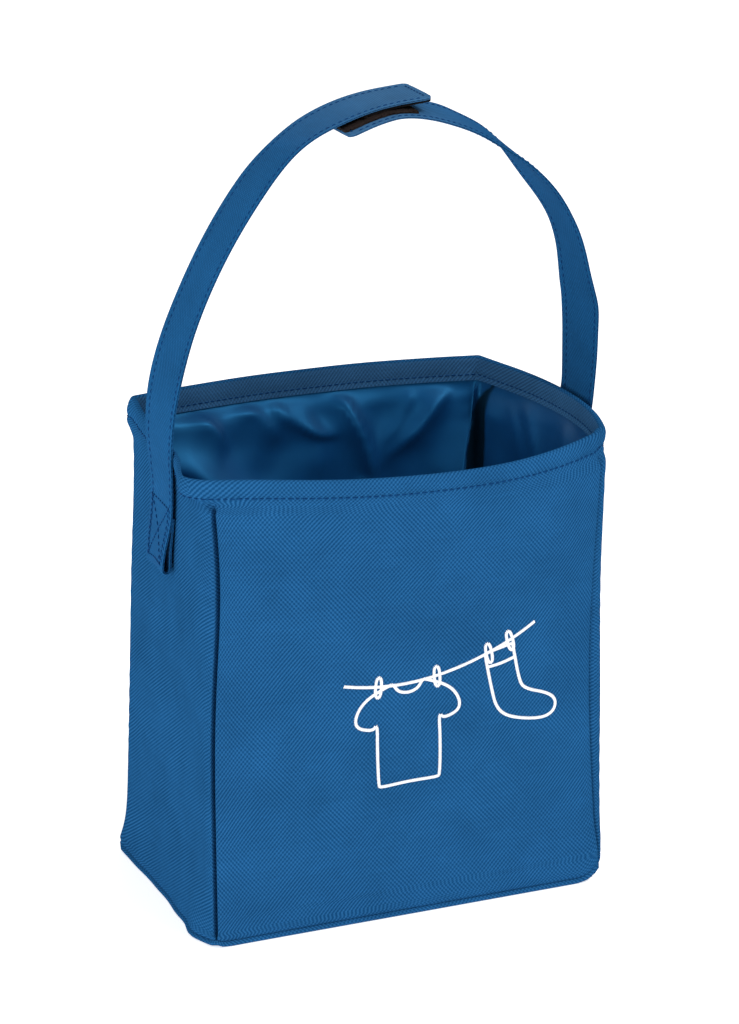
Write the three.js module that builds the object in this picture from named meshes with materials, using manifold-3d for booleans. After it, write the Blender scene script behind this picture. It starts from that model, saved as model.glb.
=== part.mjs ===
// Peg bag: a lined cloth bag with an open mouth, and a strap handle in two halves
// that close over each other with hook and loop tape.
// Millimetres, +Z up, the front faces -Y, origin at the middle of the base's underside.

import * as THREE from 'three';
import { mergeVertices } from 'three/addons/utils/BufferGeometryUtils.js';
import Module from 'manifold-3d';

const wasm = await Module();
wasm.setup();

// Bag body
const BASE_WIDTH = 180;
const BASE_DEPTH = 112;
const BAG_HEIGHT = 210;

// How far the rim's corners stand out from the base's corners
const FRONT_CORNER_SPREAD = 1;
const BACK_CORNER_SPREAD = -6;
const BACK_CORNER_LEAN = 6;

// How far the middle of each wall's rim bows out, and how much the front rim sags
const FRONT_BOW = 18;
const BACK_BOW = 12;
const LEFT_BOW = 1.5;
const RIGHT_BOW = 12;
const FRONT_SAG = 4;

// Powers of the height by which the bow and the sag grow from the base to the rim
const BOW_GROWTH = 1.6;
const SAG_GROWTH = 3;

// Cloth, lining and base board
const SHELL_THICKNESS = 0.9;
const LINING_THICKNESS = 0.4;
const BOARD_THICKNESS = 1.5;
const SEAM_GAP = 0.3;

// Hem turned in at the mouth, and the thread that sews it
const HEM_DEPTH = 13;
const HEM_STITCH_DROP = 8.5;
const THREAD_THICKNESS = 0.5;

// Handle straps: the sewn end, the neck that bends at the rim and the free arm
const STRAP_WIDTH = 30;
const STRAP_THICKNESS = 2.4;
const ANCHOR_DROP = 20;
const ANCHOR_LENGTH = 35;
const NECK_LENGTH = 40;
const NECK_SLACK = 1.2;
const FOOT_GAP = 0.7;
const LEFT_ARM_LENGTH = 180;
const OVERLAP_LENGTH = 36;

// Pull of the arch at its two feet: sideways and up
const LEFT_FOOT_LEAN = 52;
const LEFT_FOOT_PULL = 174;
const RIGHT_FOOT_LEAN = 3;
const RIGHT_FOOT_PULL = 135;

// Hook and loop tape
const HOOK_LENGTH = 32;
const HOOK_THICKNESS = 1.5;
const LOOP_LENGTH = 33;
const LOOP_THICKNESS = 2;
const TAPE_EDGE_INSET = 1.5;
const GRIP_GAP = 0.5;

// Crossed box of thread on each sewn strap end
const BOX_STITCH_INSET = 3;
const BOX_STITCH_LINE = 1;

// Facets along a wall, up a wall, along a strap and round a strap's rounded end
const WALL_COLUMNS = 14;
const WALL_ROWS = 8;
const STRAP_STEPS = 22;
const ROUND_END_STEPS = 16;

// Layers counted inward from the outer face of a wall
const LINING_FACE = SHELL_THICKNESS + SEAM_GAP;
const LINING_BACK = LINING_FACE + LINING_THICKNESS;
const FACING_FACE = LINING_BACK + SEAM_GAP;
const FACING_BACK = FACING_FACE + SHELL_THICKNESS;

// Layers counted upward from the base's underside
const BOARD_UNDERSIDE = SHELL_THICKNESS + SEAM_GAP;
const LINING_FLOOR = BOARD_UNDERSIDE + BOARD_THICKNESS + SEAM_GAP;

// Centre to centre distance of the two straps where they overlap
const OVERLAP_STACK = STRAP_THICKNESS + 2 * SEAM_GAP + HOOK_THICKNESS + GRIP_GAP + LOOP_THICKNESS;

const shellCloth = { color: 0x1e5f9b, roughness: 0.75, metalness: 0 };
const liningCloth = { color: 0x1b5ea3, roughness: 0.3, metalness: 0 };
const strapCloth = { color: 0x2a66a0, roughness: 0.7, metalness: 0 };
const threadFinish = { color: 0x184d84, roughness: 0.6, metalness: 0 };
const tapeFinish = { color: 0x0b0d12, roughness: 0.9, metalness: 0 };
const boardFinish = { color: 0x8a8d90, roughness: 0.6, metalness: 0 };

// Directions of a plate's width, height and thickness in the strap's plane
const WIDTH_WAY = new THREE.Vector3(0, 1, 0);
const HEIGHT_WAY = new THREE.Vector3(0, 0, 1);
const THICKNESS_WAY = new THREE.Vector3(1, 0, 0);

const bag = new THREE.Group();

// Adds one named sub-part with a material of its own
function addPart(parent, name, geometry, finish) {
  const mesh = new THREE.Mesh(geometry, new THREE.MeshStandardMaterial(finish));
  mesh.name = name;
  parent.add(mesh);
  return mesh;
}

// Closed surface from points and triangles, turned so that its faces point out
function closedSurface(points, triangles) {
  let volume = 0;
  for (const [a, b, c] of triangles) {
    volume += points[a].dot(points[b].clone().cross(points[c]));
  }
  const faces = volume < 0 ? triangles.map(([a, b, c]) => [a, c, b]) : triangles;
  const geometry = new THREE.BufferGeometry();
  geometry.setAttribute('position', new THREE.Float32BufferAttribute(points.flatMap((p) => p.toArray()), 3));
  geometry.setIndex(faces.flat());
  return geometry;
}

function twoTriangles(a, b, c, d) {
  return [[a, b, c], [a, c, d]];
}

// Slab between two grids of points, each given as columns of rows, closed along all four borders
function slab(outer, inner) {
  const columns = outer.length;
  const rows = outer[0].length;
  const at = (layer, column, row) => (layer * columns + column) * rows + row;
  const triangles = [];
  for (let c = 0; c < columns - 1; c += 1) {
    for (let r = 0; r < rows - 1; r += 1) {
      triangles.push(...twoTriangles(at(0, c, r), at(0, c + 1, r), at(0, c + 1, r + 1), at(0, c, r + 1)));
      triangles.push(...twoTriangles(at(1, c, r), at(1, c, r + 1), at(1, c + 1, r + 1), at(1, c + 1, r)));
    }
  }
  const top = rows - 1;
  for (let c = 0; c < columns - 1; c += 1) {
    triangles.push(...twoTriangles(at(0, c, 0), at(1, c, 0), at(1, c + 1, 0), at(0, c + 1, 0)));
    triangles.push(...twoTriangles(at(0, c, top), at(0, c + 1, top), at(1, c + 1, top), at(1, c, top)));
  }
  const end = columns - 1;
  for (let r = 0; r < rows - 1; r += 1) {
    triangles.push(...twoTriangles(at(0, 0, r), at(0, 0, r + 1), at(1, 0, r + 1), at(1, 0, r)));
    triangles.push(...twoTriangles(at(0, end, r), at(1, end, r), at(1, end, r + 1), at(0, end, r + 1)));
  }
  return closedSurface([...outer.flat(), ...inner.flat()], triangles);
}

// Numbers from start to end in equal steps
function spread(start, end, steps) {
  return Array.from({ length: steps + 1 }, (_, i) => start + (end - start) * i / steps);
}

// Joins overlapping closed surfaces into one
function joined(geometries) {
  const solids = geometries.map((geometry) => new wasm.Manifold(new wasm.Mesh({
    numProp: 3,
    vertProperties: geometry.getAttribute('position').array,
    triVerts: Uint32Array.from(geometry.getIndex().array),
  })));
  const mesh = solids.reduce((whole, solid) => whole.add(solid)).getMesh();
  const geometry = new THREE.BufferGeometry();
  geometry.setAttribute('position', new THREE.Float32BufferAttribute(mesh.vertProperties, 3));
  geometry.setIndex(Array.from(mesh.triVerts));
  return geometry;
}

// A corner of the bag in plan, at its base and at its rim
function corner(xSign, ySign, spreadOut, lean) {
  return {
    base: new THREE.Vector2(xSign * BASE_WIDTH / 2, ySign * BASE_DEPTH / 2),
    rim: new THREE.Vector2(xSign * (BASE_WIDTH / 2 + spreadOut), ySign * (BASE_DEPTH / 2 + lean)),
  };
}

const frontLeft = corner(-1, -1, FRONT_CORNER_SPREAD, 0);
const frontRight = corner(1, -1, FRONT_CORNER_SPREAD, 0);
const backLeft = corner(-1, 1, BACK_CORNER_SPREAD, BACK_CORNER_LEAN);
const backRight = corner(1, 1, BACK_CORNER_SPREAD, BACK_CORNER_LEAN);

const walls = {
  front: { from: frontLeft, to: frontRight, outward: new THREE.Vector2(0, -1), bow: FRONT_BOW, sag: FRONT_SAG },
  right: { from: frontRight, to: backRight, outward: new THREE.Vector2(1, 0), bow: RIGHT_BOW, sag: 0 },
  back: { from: backRight, to: backLeft, outward: new THREE.Vector2(0, 1), bow: BACK_BOW, sag: 0 },
  left: { from: backLeft, to: frontLeft, outward: new THREE.Vector2(-1, 0), bow: LEFT_BOW, sag: 0 },
};

// Point of a wall: share of the way along it between its end insets, height, and depth below its outer face.
// The wall is a straight band between two corner lines, bowed out by a parabola that grows with height.
function wallPoint(wall, along, height, depth, endInset) {
  const rise = height / BAG_HEIGHT;
  const from = wall.from.base.clone().lerp(wall.from.rim, rise);
  const to = wall.to.base.clone().lerp(wall.to.rim, rise);
  const inset = endInset / from.distanceTo(to);
  const share = inset + along * (1 - 2 * inset);
  const swell = 4 * share * (1 - share);
  const plan = from.lerp(to, share);
  plan.addScaledVector(wall.outward, wall.bow * swell * rise ** BOW_GROWTH - depth);
  return new THREE.Vector3(plan.x, plan.y, height - wall.sag * swell * rise ** SAG_GROWTH);
}

// Sheet of a wall between two heights and two depths
function wallSheet(wall, low, high, face, back, endInset, rows) {
  const grid = (depth) => spread(0, 1, WALL_COLUMNS).map((along) => (
    spread(low, high, rows).map((height) => wallPoint(wall, along, height, depth, endInset))
  ));
  return slab(grid(face), grid(back));
}

// Outer cloth of one wall: the wall, the fold over its top edge and the hem's facing inside the mouth
function hemmedPanel(wall, endInset, facingInset) {
  const wallTop = BAG_HEIGHT - SHELL_THICKNESS / 2;
  const foldLow = BAG_HEIGHT - SHELL_THICKNESS;
  const foldFace = SHELL_THICKNESS / 3;
  return joined([
    wallSheet(wall, 0, wallTop, 0, SHELL_THICKNESS, endInset, WALL_ROWS),
    wallSheet(wall, foldLow, BAG_HEIGHT, foldFace, FACING_BACK, facingInset, 1),
    wallSheet(wall, BAG_HEIGHT - HEM_DEPTH, wallTop, FACING_FACE, FACING_BACK, facingInset, 1),
  ]);
}

// Lining of one wall, from the floor of the bag up into the hem
function wallLining(wall, endInset) {
  const top = BAG_HEIGHT - SHELL_THICKNESS - SEAM_GAP;
  return wallSheet(wall, LINING_FLOOR, top, LINING_FACE, LINING_BACK, endInset, WALL_ROWS);
}

// Flat rectangle of the base, a given distance inside the bag's outer faces
function baseSheet(inset, underside, thickness) {
  const geometry = new THREE.BoxGeometry(BASE_WIDTH - 2 * inset, BASE_DEPTH - 2 * inset, thickness);
  return geometry.translate(0, 0, underside + thickness / 2);
}

// Thread round the mouth: a square section carried once round the outside of the four walls
function hemThread() {
  const height = BAG_HEIGHT - HEM_STITCH_DROP;
  const near = -SEAM_GAP;
  const far = near - THREAD_THICKNESS;
  const lift = THREAD_THICKNESS / 2;
  const section = [[near, -lift], [far, -lift], [far, lift], [near, lift]];
  const rings = Object.values(walls).flatMap((wall) => spread(0, 1, WALL_COLUMNS).map((along) => (
    section.map(([depth, step]) => wallPoint(wall, along, height, depth, 0).add(new THREE.Vector3(0, 0, step)))
  )));
  const sides = section.length;
  const triangles = [];
  for (let i = 0; i < rings.length; i += 1) {
    const next = (i + 1) % rings.length;
    for (let k = 0; k < sides; k += 1) {
      const turn = (k + 1) % sides;
      const quad = [i * sides + k, next * sides + k, next * sides + turn, i * sides + turn];
      triangles.push(...twoTriangles(...quad));
    }
  }
  return closedSurface(rings.flat(), triangles);
}

// How far a gusset's outer face stands from the middle plane, at most, across the width of the strap on it
function strapFace(wall, height) {
  const start = wallPoint(wall, 0, height, 0, 0).y;
  const end = wallPoint(wall, 1, height, 0, 0).y;
  const reach = spread(-STRAP_WIDTH / 2, STRAP_WIDTH / 2, STRAP_STEPS).map((y) => (
    Math.abs(wallPoint(wall, (y - start) / (end - start), height, 0, 0).x)
  ));
  return Math.max(...reach);
}

// Seat of a strap on its gusset: the top inner edge of the sewn end, and how far the strap tilts outward
function strapSeat(wall, side) {
  const top = BAG_HEIGHT - ANCHOR_DROP;
  const topFace = strapFace(wall, top);
  const lowFace = strapFace(wall, top - ANCHOR_LENGTH);
  return { side, top, face: topFace + SEAM_GAP, tilt: Math.atan2(topFace - lowFace, ANCHOR_LENGTH) };
}

// Necks stand off the sewn ends by the hem thread behind them and some slack
const NECK_LIFT = THREAD_THICKNESS + SEAM_GAP + NECK_SLACK;

// Point of a strap's middle plane, given outward from its seat and up along the strap
function seatPoint(seat, out, up) {
  const across = seat.face + out * Math.cos(seat.tilt) + up * Math.sin(seat.tilt);
  return new THREE.Vector2(seat.side * across, seat.top - out * Math.sin(seat.tilt) + up * Math.cos(seat.tilt));
}

// Profile drawn in width and height and extruded by a thickness, standing in the strap's plane
function strapPlate(shape, thickness, curveSegments) {
  const geometry = new THREE.ExtrudeGeometry(shape, { depth: thickness, bevelEnabled: false, curveSegments });
  return geometry.applyMatrix4(new THREE.Matrix4().makeBasis(WIDTH_WAY, HEIGHT_WAY, THICKNESS_WAY));
}

function rectangle(target, halfWidth, low, high) {
  target.moveTo(-halfWidth, low);
  target.lineTo(halfWidth, low);
  target.lineTo(halfWidth, high);
  target.lineTo(-halfWidth, high);
  target.closePath();
  return target;
}

function anchorPlate() {
  return strapPlate(rectangle(new THREE.Shape(), STRAP_WIDTH / 2, -ANCHOR_LENGTH, 0), STRAP_THICKNESS, 1);
}

// Neck: round below, about the point that it swings on, and square above
function neckPlate() {
  const radius = STRAP_WIDTH / 2;
  const shape = new THREE.Shape();
  shape.moveTo(radius, SEAM_GAP + radius);
  shape.lineTo(radius, NECK_LENGTH);
  shape.lineTo(-radius, NECK_LENGTH);
  shape.lineTo(-radius, SEAM_GAP + radius);
  shape.absarc(0, SEAM_GAP + radius, radius, Math.PI, 2 * Math.PI, false);
  return strapPlate(shape, STRAP_THICKNESS, ROUND_END_STEPS);
}

// Line of thread between two points of a strap's face
function threadBar(from, to) {
  const side = to.clone().sub(from).setLength(BOX_STITCH_LINE / 2);
  side.set(-side.y, side.x);
  const outline = [from.clone().sub(side), to.clone().sub(side), to.clone().add(side), from.clone().add(side)];
  const geometry = strapPlate(new THREE.Shape(outline), THREAD_THICKNESS, 1);
  geometry.deleteAttribute('normal');
  geometry.deleteAttribute('uv');
  return mergeVertices(geometry);
}

// Box of thread with its two diagonals
function boxStitch() {
  const halfWidth = STRAP_WIDTH / 2 - BOX_STITCH_INSET;
  const low = BOX_STITCH_INSET - ANCHOR_LENGTH;
  const lowLeft = new THREE.Vector2(-halfWidth, low);
  const lowRight = new THREE.Vector2(halfWidth, low);
  const highRight = new THREE.Vector2(halfWidth, -BOX_STITCH_INSET);
  const highLeft = new THREE.Vector2(-halfWidth, -BOX_STITCH_INSET);
  const run = [lowLeft, lowRight, highRight, highLeft, lowLeft, highRight];
  const bars = run.slice(1).map((to, i) => threadBar(run[i], to));
  return joined([...bars, threadBar(lowRight, highLeft)]);
}

// Sewn end, neck and crossed stitch of one strap, in the strap's own tilted plane
function addStrapFoot(name, seat) {
  const facing = new THREE.Group();
  facing.rotation.z = seat.side < 0 ? Math.PI : 0;
  const plane = new THREE.Group();
  plane.position.set(seat.face, 0, seat.top);
  plane.rotation.y = seat.tilt;
  facing.add(plane);
  bag.add(facing);
  addPart(plane, `${name}_strap_anchor`, anchorPlate(), strapCloth);
  const neck = addPart(plane, `${name}_strap_neck`, neckPlate(), strapCloth);
  neck.position.x = NECK_LIFT;
  const stitch = addPart(plane, `${name}_box_stitch`, boxStitch(), threadFinish);
  stitch.position.x = STRAP_THICKNESS + SEAM_GAP;
}

const leftSeat = strapSeat(walls.left, -1);
const rightSeat = strapSeat(walls.right, 1);
const strapHalf = STRAP_THICKNESS / 2;
const leftFoot = seatPoint(leftSeat, NECK_LIFT + strapHalf, NECK_LENGTH + FOOT_GAP);
const rightFoot = seatPoint(rightSeat, NECK_LIFT + strapHalf, NECK_LENGTH + FOOT_GAP);

// Arch of the handle in the plane y = 0: the line that the two straps close on
const arch = new THREE.CubicBezierCurve(
  leftFoot,
  leftFoot.clone().add(new THREE.Vector2(LEFT_FOOT_LEAN, LEFT_FOOT_PULL)),
  rightFoot.clone().add(new THREE.Vector2(RIGHT_FOOT_LEAN, RIGHT_FOOT_PULL)),
  rightFoot,
);
const archLength = arch.getLength();
const overlapStart = LEFT_ARM_LENGTH - OVERLAP_LENGTH;
const RIGHT_ARM_LENGTH = archLength - overlapStart;

// Height of each strap's middle above the arch: nothing at its foot, half of the stack where they overlap
function leftRaise(distance) {
  return OVERLAP_STACK / 2 * THREE.MathUtils.smoothstep(distance, 0, overlapStart);
}

function rightRaise(distance) {
  const freeLength = RIGHT_ARM_LENGTH - OVERLAP_LENGTH;
  return -OVERLAP_STACK / 2 * THREE.MathUtils.smoothstep(archLength - distance, 0, freeLength);
}

// Strip along the arch between two distances from its left foot, and between two levels off the strap's middle
function archStrip(start, end, raise, low, high, width) {
  const grid = (level) => spread(start, end, STRAP_STEPS).map((distance) => {
    const point = arch.getPointAt(distance / archLength);
    const tangent = arch.getTangentAt(distance / archLength);
    const lift = raise(distance) + level;
    const x = point.x - tangent.y * lift;
    const z = point.y + tangent.x * lift;
    return [-width / 2, width / 2].map((y) => new THREE.Vector3(x, y, z));
  });
  return slab(grid(high), grid(low));
}

const tapeWidth = STRAP_WIDTH - 2 * TAPE_EDGE_INSET;

function leftArm() {
  return archStrip(0, LEFT_ARM_LENGTH, leftRaise, -strapHalf, strapHalf, STRAP_WIDTH);
}

function rightArm() {
  return archStrip(overlapStart, archLength, rightRaise, -strapHalf, strapHalf, STRAP_WIDTH);
}

function hookTape() {
  const end = LEFT_ARM_LENGTH - TAPE_EDGE_INSET;
  const face = -strapHalf - SEAM_GAP;
  return archStrip(end - HOOK_LENGTH, end, leftRaise, face - HOOK_THICKNESS, face, tapeWidth);
}

function loopTape() {
  const start = overlapStart + TAPE_EDGE_INSET;
  const face = strapHalf + SEAM_GAP;
  return archStrip(start, start + LOOP_LENGTH, rightRaise, face, face + LOOP_THICKNESS, tapeWidth);
}

const gussetInset = SHELL_THICKNESS + SEAM_GAP;
addPart(bag, 'front_panel', hemmedPanel(walls.front, 0, FACING_BACK + SEAM_GAP), shellCloth);
addPart(bag, 'back_panel', hemmedPanel(walls.back, 0, FACING_BACK + SEAM_GAP), shellCloth);
addPart(bag, 'left_gusset', hemmedPanel(walls.left, gussetInset, FACING_FACE), shellCloth);
addPart(bag, 'right_gusset', hemmedPanel(walls.right, gussetInset, FACING_FACE), shellCloth);
addPart(bag, 'front_lining', wallLining(walls.front, FACING_FACE), liningCloth);
addPart(bag, 'back_lining', wallLining(walls.back, FACING_FACE), liningCloth);
addPart(bag, 'left_lining', wallLining(walls.left, gussetInset), liningCloth);
addPart(bag, 'right_lining', wallLining(walls.right, gussetInset), liningCloth);
addPart(bag, 'base_panel', baseSheet(gussetInset, 0, SHELL_THICKNESS), shellCloth);
addPart(bag, 'base_board', baseSheet(gussetInset, BOARD_UNDERSIDE, BOARD_THICKNESS), boardFinish);
addPart(bag, 'base_lining', baseSheet(FACING_FACE, LINING_FLOOR, LINING_THICKNESS), liningCloth);
addPart(bag, 'hem_topstitch', hemThread(), threadFinish);
addStrapFoot('left', leftSeat);
addStrapFoot('right', rightSeat);
addPart(bag, 'left_strap_arm', leftArm(), strapCloth);
addPart(bag, 'right_strap_arm', rightArm(), strapCloth);
addPart(bag, 'hook_tape', hookTape(), tapeFinish);
addPart(bag, 'loop_tape', loopTape(), tapeFinish);

export default bag;
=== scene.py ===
"""Peg bag: woven shell, glossy lining, strap handle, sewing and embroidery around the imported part."""
import math

import bpy
import numpy as np
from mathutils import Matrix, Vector


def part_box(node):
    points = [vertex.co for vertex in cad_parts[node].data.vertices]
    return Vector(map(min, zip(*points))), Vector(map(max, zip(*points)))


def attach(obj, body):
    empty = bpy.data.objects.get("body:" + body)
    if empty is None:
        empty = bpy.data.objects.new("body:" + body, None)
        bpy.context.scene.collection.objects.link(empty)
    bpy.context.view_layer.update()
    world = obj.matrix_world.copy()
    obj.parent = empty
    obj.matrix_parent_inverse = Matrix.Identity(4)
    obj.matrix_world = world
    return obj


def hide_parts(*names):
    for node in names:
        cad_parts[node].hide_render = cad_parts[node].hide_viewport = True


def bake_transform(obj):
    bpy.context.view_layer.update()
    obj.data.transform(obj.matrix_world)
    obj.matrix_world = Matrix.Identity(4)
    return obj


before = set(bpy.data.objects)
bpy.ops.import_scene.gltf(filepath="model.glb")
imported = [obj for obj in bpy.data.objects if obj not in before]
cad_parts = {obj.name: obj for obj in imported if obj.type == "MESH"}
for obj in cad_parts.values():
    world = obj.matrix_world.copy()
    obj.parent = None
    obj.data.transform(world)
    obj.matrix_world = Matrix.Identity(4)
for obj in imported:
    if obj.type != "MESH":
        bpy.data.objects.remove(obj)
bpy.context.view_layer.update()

MM = 0.001

# Bag body: the rim's height, and the corners of the base and of the rim in plan, in millimetres
BAG_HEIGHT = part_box("back_panel")[1].z
BASE_FRONT_LEFT = (-91.6, -59)
BASE_FRONT_RIGHT = (92.4, -57.2)
BASE_BACK_RIGHT = (90, 56)
BASE_BACK_LEFT = (-90.4, 57.5)
RIM_FRONT_LEFT = (-91.5, -54)
RIM_FRONT_RIGHT = (90.4, -57.5)
RIM_BACK_RIGHT = (86, 64)
RIM_BACK_LEFT = (-82, 63.5)
BOW_GROWTH = 1.6
SAG_GROWTH = 3.0

# Outer cloth: thickness, the gussets' weave rates, and points up a wall
SHELL_THICKNESS = 0.7 * MM
GUSSET_WEAVE = (0.71, 1.28)
PANEL_ROWS = 150

# Corner seams: the groove and its fades at hem and foot, the plain rounding, pulls, puffs and puckers
SEAM_ROUND = 0.8 * MM
SEAM_TOP_FADE = (7.5 * MM, 3 * MM)
SEAM_FOOT_FADE = (0.3 * MM, 3 * MM)
ROUNDING_SINK = 0.29
ROUNDING_RUN = 0.71
ROUNDING_LEAST_RUN = 0.1 * MM
ROUNDING_POWER = 2.4
MITRE_REACH = 5 * MM
PULL_HELD = (0.16, 0.93)
FLARE_FADE = (-0.5 * MM, 3.5 * MM)
PUFF_DISTANCE = 5 * MM
PUFF_START = 20 * MM
PUFF_FADE = (0.35, 0.75)
PUCKER_LENGTH = 8.5 * MM
PUCKER_DEPTH = 0.28 * MM
PUCKER_REACH = 5 * MM
PUCKER_START = (0.5 * MM, 2.5 * MM)
PUCKER_WANDER = (17 * MM, 29 * MM, 11 * MM)

# Base seam and the foot of the walls, with the bead's rings as insets and drops in millimetres
BASE_CORNER_ROUND = 2.5 * MM
BASE_SEAM_HEIGHT = 2.5 * MM
BASE_SEAM_DEPTH = 1.3 * MM
BASE_ROLL_HEIGHT = 3.2 * MM
BASE_FLAT_INSET = 8 * MM
BASE_TURN_INSET = 4 * MM
BASE_TURN_RADIUS = 1.6 * MM
BASE_TURN_OUT = 0.4 * MM
BASE_BEAD = ((-1.0, 2.2), (-1.5, 1.6), (-1.5, 1.0), (-0.9, 0.35), (0.1, 0.0), (0.8, -1.4))
FOOT_PUFF_HEIGHT = 16 * MM

# Soft waves of the walls: how many, shortest and longest in millimetres, height over length, and how far
# from the seams they are full
WAVE_COUNT = 6
WAVE_LENGTHS = (45, 150)
WAVE_STEEPNESS = 0.0032
LOOSE_REACH = 25 * MM

# Hem: the fold at the rim, the facing inside with its share of painted light, the sewing, and the relief
# round it
HEM_FOLD_RADIUS = 1.1 * MM
FACING_DEPTH = 9.9 * MM
FACING_ROWS = 22
FACING_PAINTED_LIGHT = 0.13
FACING_RELIEF = 0.4
HEM_FOLD_ROWS = 11
HEM_STITCH_DROP = 8.4 * MM
HEM_GROOVE = 0.4 * MM
HEM_GROOVE_WIDTH = 1.2 * MM
HEM_PUFF = 0.4 * MM
HEM_PUFF_START = (0.5 * MM, 3 * MM)
HEM_PUFF_END = 4 * MM
HEM_SWELL = 0.2 * MM
HEM_SWELL_DROP = 4 * MM
HEM_SWELL_WIDTH = 3 * MM
HEM_RIPPLE = 0.16 * MM
HEM_RIPPLE_LENGTH = 7.5 * MM
HEM_RIPPLE_WIDTH = 3.5 * MM
HEM_RIPPLE_START = (1 * MM, 5 * MM)
HEM_RIPPLE_WANDER = 13 * MM

# Lining: its cloth, its place, its slack and its crumples, and how far below the facing and above the floor
# it is free to crumple and to belly
LINING_THICKNESS = 0.3 * MM
LINING_TOP_DROP = 10 * MM
LINING_FLOOR = 4.2 * MM
FLOOR_INSET = 2.6 * MM
FLOOR_DROP = 0.8 * MM
FLOOR_EDGE = (4 * MM, 18 * MM)
FLOOR_RIPPLES = ((9 * MM, 15 * MM), (31 * MM, 12 * MM))
LINING_CLEAR = 3.0 * MM
LINING_SLACK = 2.5 * MM
LINING_STEP = 1.8 * MM
LINING_CROWD = 1.35
LINING_EXIT = (-1.5 * MM, 8 * MM)
CRUMPLE_COUNT = 10
CRUMPLE_LENGTHS = (13, 48)
CRUMPLE_STEEPNESS = 0.006
CRUMPLE_WANDER = 5 * MM
CRUMPLE_WANDER_LENGTHS = (41 * MM, 17 * MM)
CRUMPLE_SEED = 40
LINING_FREE = (9 * MM, 30 * MM)
LINING_BELLY = (60 * MM, 50 * MM)
SLACK_SWING = 0.8
SLACK_LENGTHS = (14 * MM, 23 * MM)
FOLD_START = 5 * MM

# Pleat of the lining in the back right corner, and the unlit pocket beside it, whose shade is painted into
# the lining's colour
PLEAT_DEPTH = 5.5 * MM
PLEAT_SHIFT = 3 * MM
PLEAT_GROWTH = (1 * MM, 38 * MM)
PLEAT_EDGE = 4 * MM
PLEAT_FADE = 40 * MM
PLEAT_END = 60 * MM
POCKET_REACH = 11 * MM
POCKET_GROWTH = (1 * MM, 14 * MM)
POCKET_STAND = 3 * MM
POCKET_SINK = 1.2 * MM
POCKET_FADE = 26 * MM
SHADE_SOFT = 1 * MM
SHADE_INSET = 2 * MM
SHADE_GROWTH = (-1 * MM, 15 * MM)
BACK_SHADE_WIDTH = 2.5 * MM
BACK_SHADE_GROWTH = (11 * MM, 40 * MM)
BACK_SHADE_START = (11 * MM, 14 * MM)

# Drag folds of the lining: roundness of the crest, bend as a share of the length, and the widths of the steep
# and the easy side. Then each wall's folds in millimetres along the wall and below the facing: start along,
# start drop, end along, end drop, width and height.
FOLD_CREST = 0.5
FOLD_BEND = 0.08
FOLD_STEEP = 0.55
FOLD_EASY = 1.5
LINING_FOLDS = {
    "front": (
        (30, 0, 52, 60, 6, 3), (70, 0, 60, 70, 7, 3), (96, 0, 120, 55, 6, 3), (140, 2, 118, 80, 8, 3.5),
        (20, 60, 70, 150, 10, 5), (150, 70, 90, 160, 11, 5), (100, 90, 40, 165, 9, 4),
    ),
    "right": (
        (18, 0, 40, 55, 6, 2), (52, 0, 44, 60, 7, 2.2), (86, 0, 66, 50, 6, 2.4), (98, 4, 84, 26, 4, 1.4),
        (70, 45, 30, 130, 9, 5), (100, 60, 70, 160, 9, 4),
    ),
    "back": (
        (69, -3, 50, 48, 4, 6.5), (15, 3, 45, 30, 6, 5.5), (31, 1, 46, 24, 3, 1.5), (68, 20, 92, 9, 3, 3),
        (85, 4, 78, 40, 7, 3), (120, -2, 100, 16, 5, 3.6), (101, 0, 93, 11, 3, 2), (141, 0, 129, 15, 4, 2.6),
        (104, 48, 152, 24, 8, 14), (60, 40, 34, 60, 5, 4), (70, 50, 34, 130, 9, 4), (112, 40, 92, 150, 11, 4),
        (150, 50, 118, 140, 10, 4),
    ),
    "left": (
        (20, 2, 34, 60, 6, 3), (52, 0, 40, 50, 6, 3), (76, 0, 92, 55, 6, 3), (102, 4, 84, 70, 7, 3),
        (40, 60, 70, 150, 9, 5), (100, 70, 60, 160, 9, 4),
    ),
}

# Handle straps: section, sewn end with its plies, the run at which the two pieces join, and the middle lines
# in x and z in millimetres
STRAP_HALF_WIDTH = 15 * MM
STRAP_HALF_THICKNESS = 0.6 * MM
STRAP_CROWN = 1.12 * STRAP_HALF_THICKNESS
STRAP_STEP = 1.4 * MM
STRAP_FRONT_INSET = 1.9 * MM
STRAP_BACK_INSET = 4.2 * MM
SEWN_END_LOW = 153 * MM
SEWN_END_TOP = 186 * MM
SEWN_SHEAR = 8.0 * MM
SEWN_SHEAR_ABOVE = 6 * MM
SEWN_TILT = 0.16
SEWN_CLEAR = 0.1 * MM
PLY_FLARE = 0.7 * MM
PLY_OPEN_FROM = -6 * MM
PLY_CLOSE = (6 * MM, 26 * MM)
UNDER_PLY_LENGTH = 28 * MM
TURN_RINGS = 10
SEWN_RINGS = 46
TIP_RINGS = 9
RIM_CHANGE = (3 * MM, 26 * MM)
STRAP_JOIN = 218 * MM - SEWN_END_TOP
STRAP_ROUTES = {
    "left": (
        (-91, 186), (-91.4, 200), (-91.8, 214), (-90, 231), (-84.2, 252), (-76.4, 271), (-66.5, 290.3),
        (-55.2, 308), (-42.4, 324.4), (-28, 336.5), (-12, 343.6), (6, 348.3), (28, 350.1),
    ),
    "right": (
        (102.6, 186), (104.0, 206), (105.0, 228), (104.9, 246), (104.5, 251.5), (103.2, 257.5), (98.8, 281),
        (90.5, 296.9), (78.6, 312.0), (68.2, 322.9), (54.4, 332.4), (36, 341.4), (14, 345.4), (2, 343.7),
        (-12.7, 338.6),
    ),
}
STRAP_END_ROUND = 3.2 * MM
END_SHIFTS = {"left": 1.2 * MM, "right": -6.5 * MM}
END_SHIFT_REACH = (90 * MM, 15 * MM)
# Painted light on the strap's upper end and tab: a pale share that grows between two runs
PAINTED_LIGHT_FROM = 160 * MM
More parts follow.
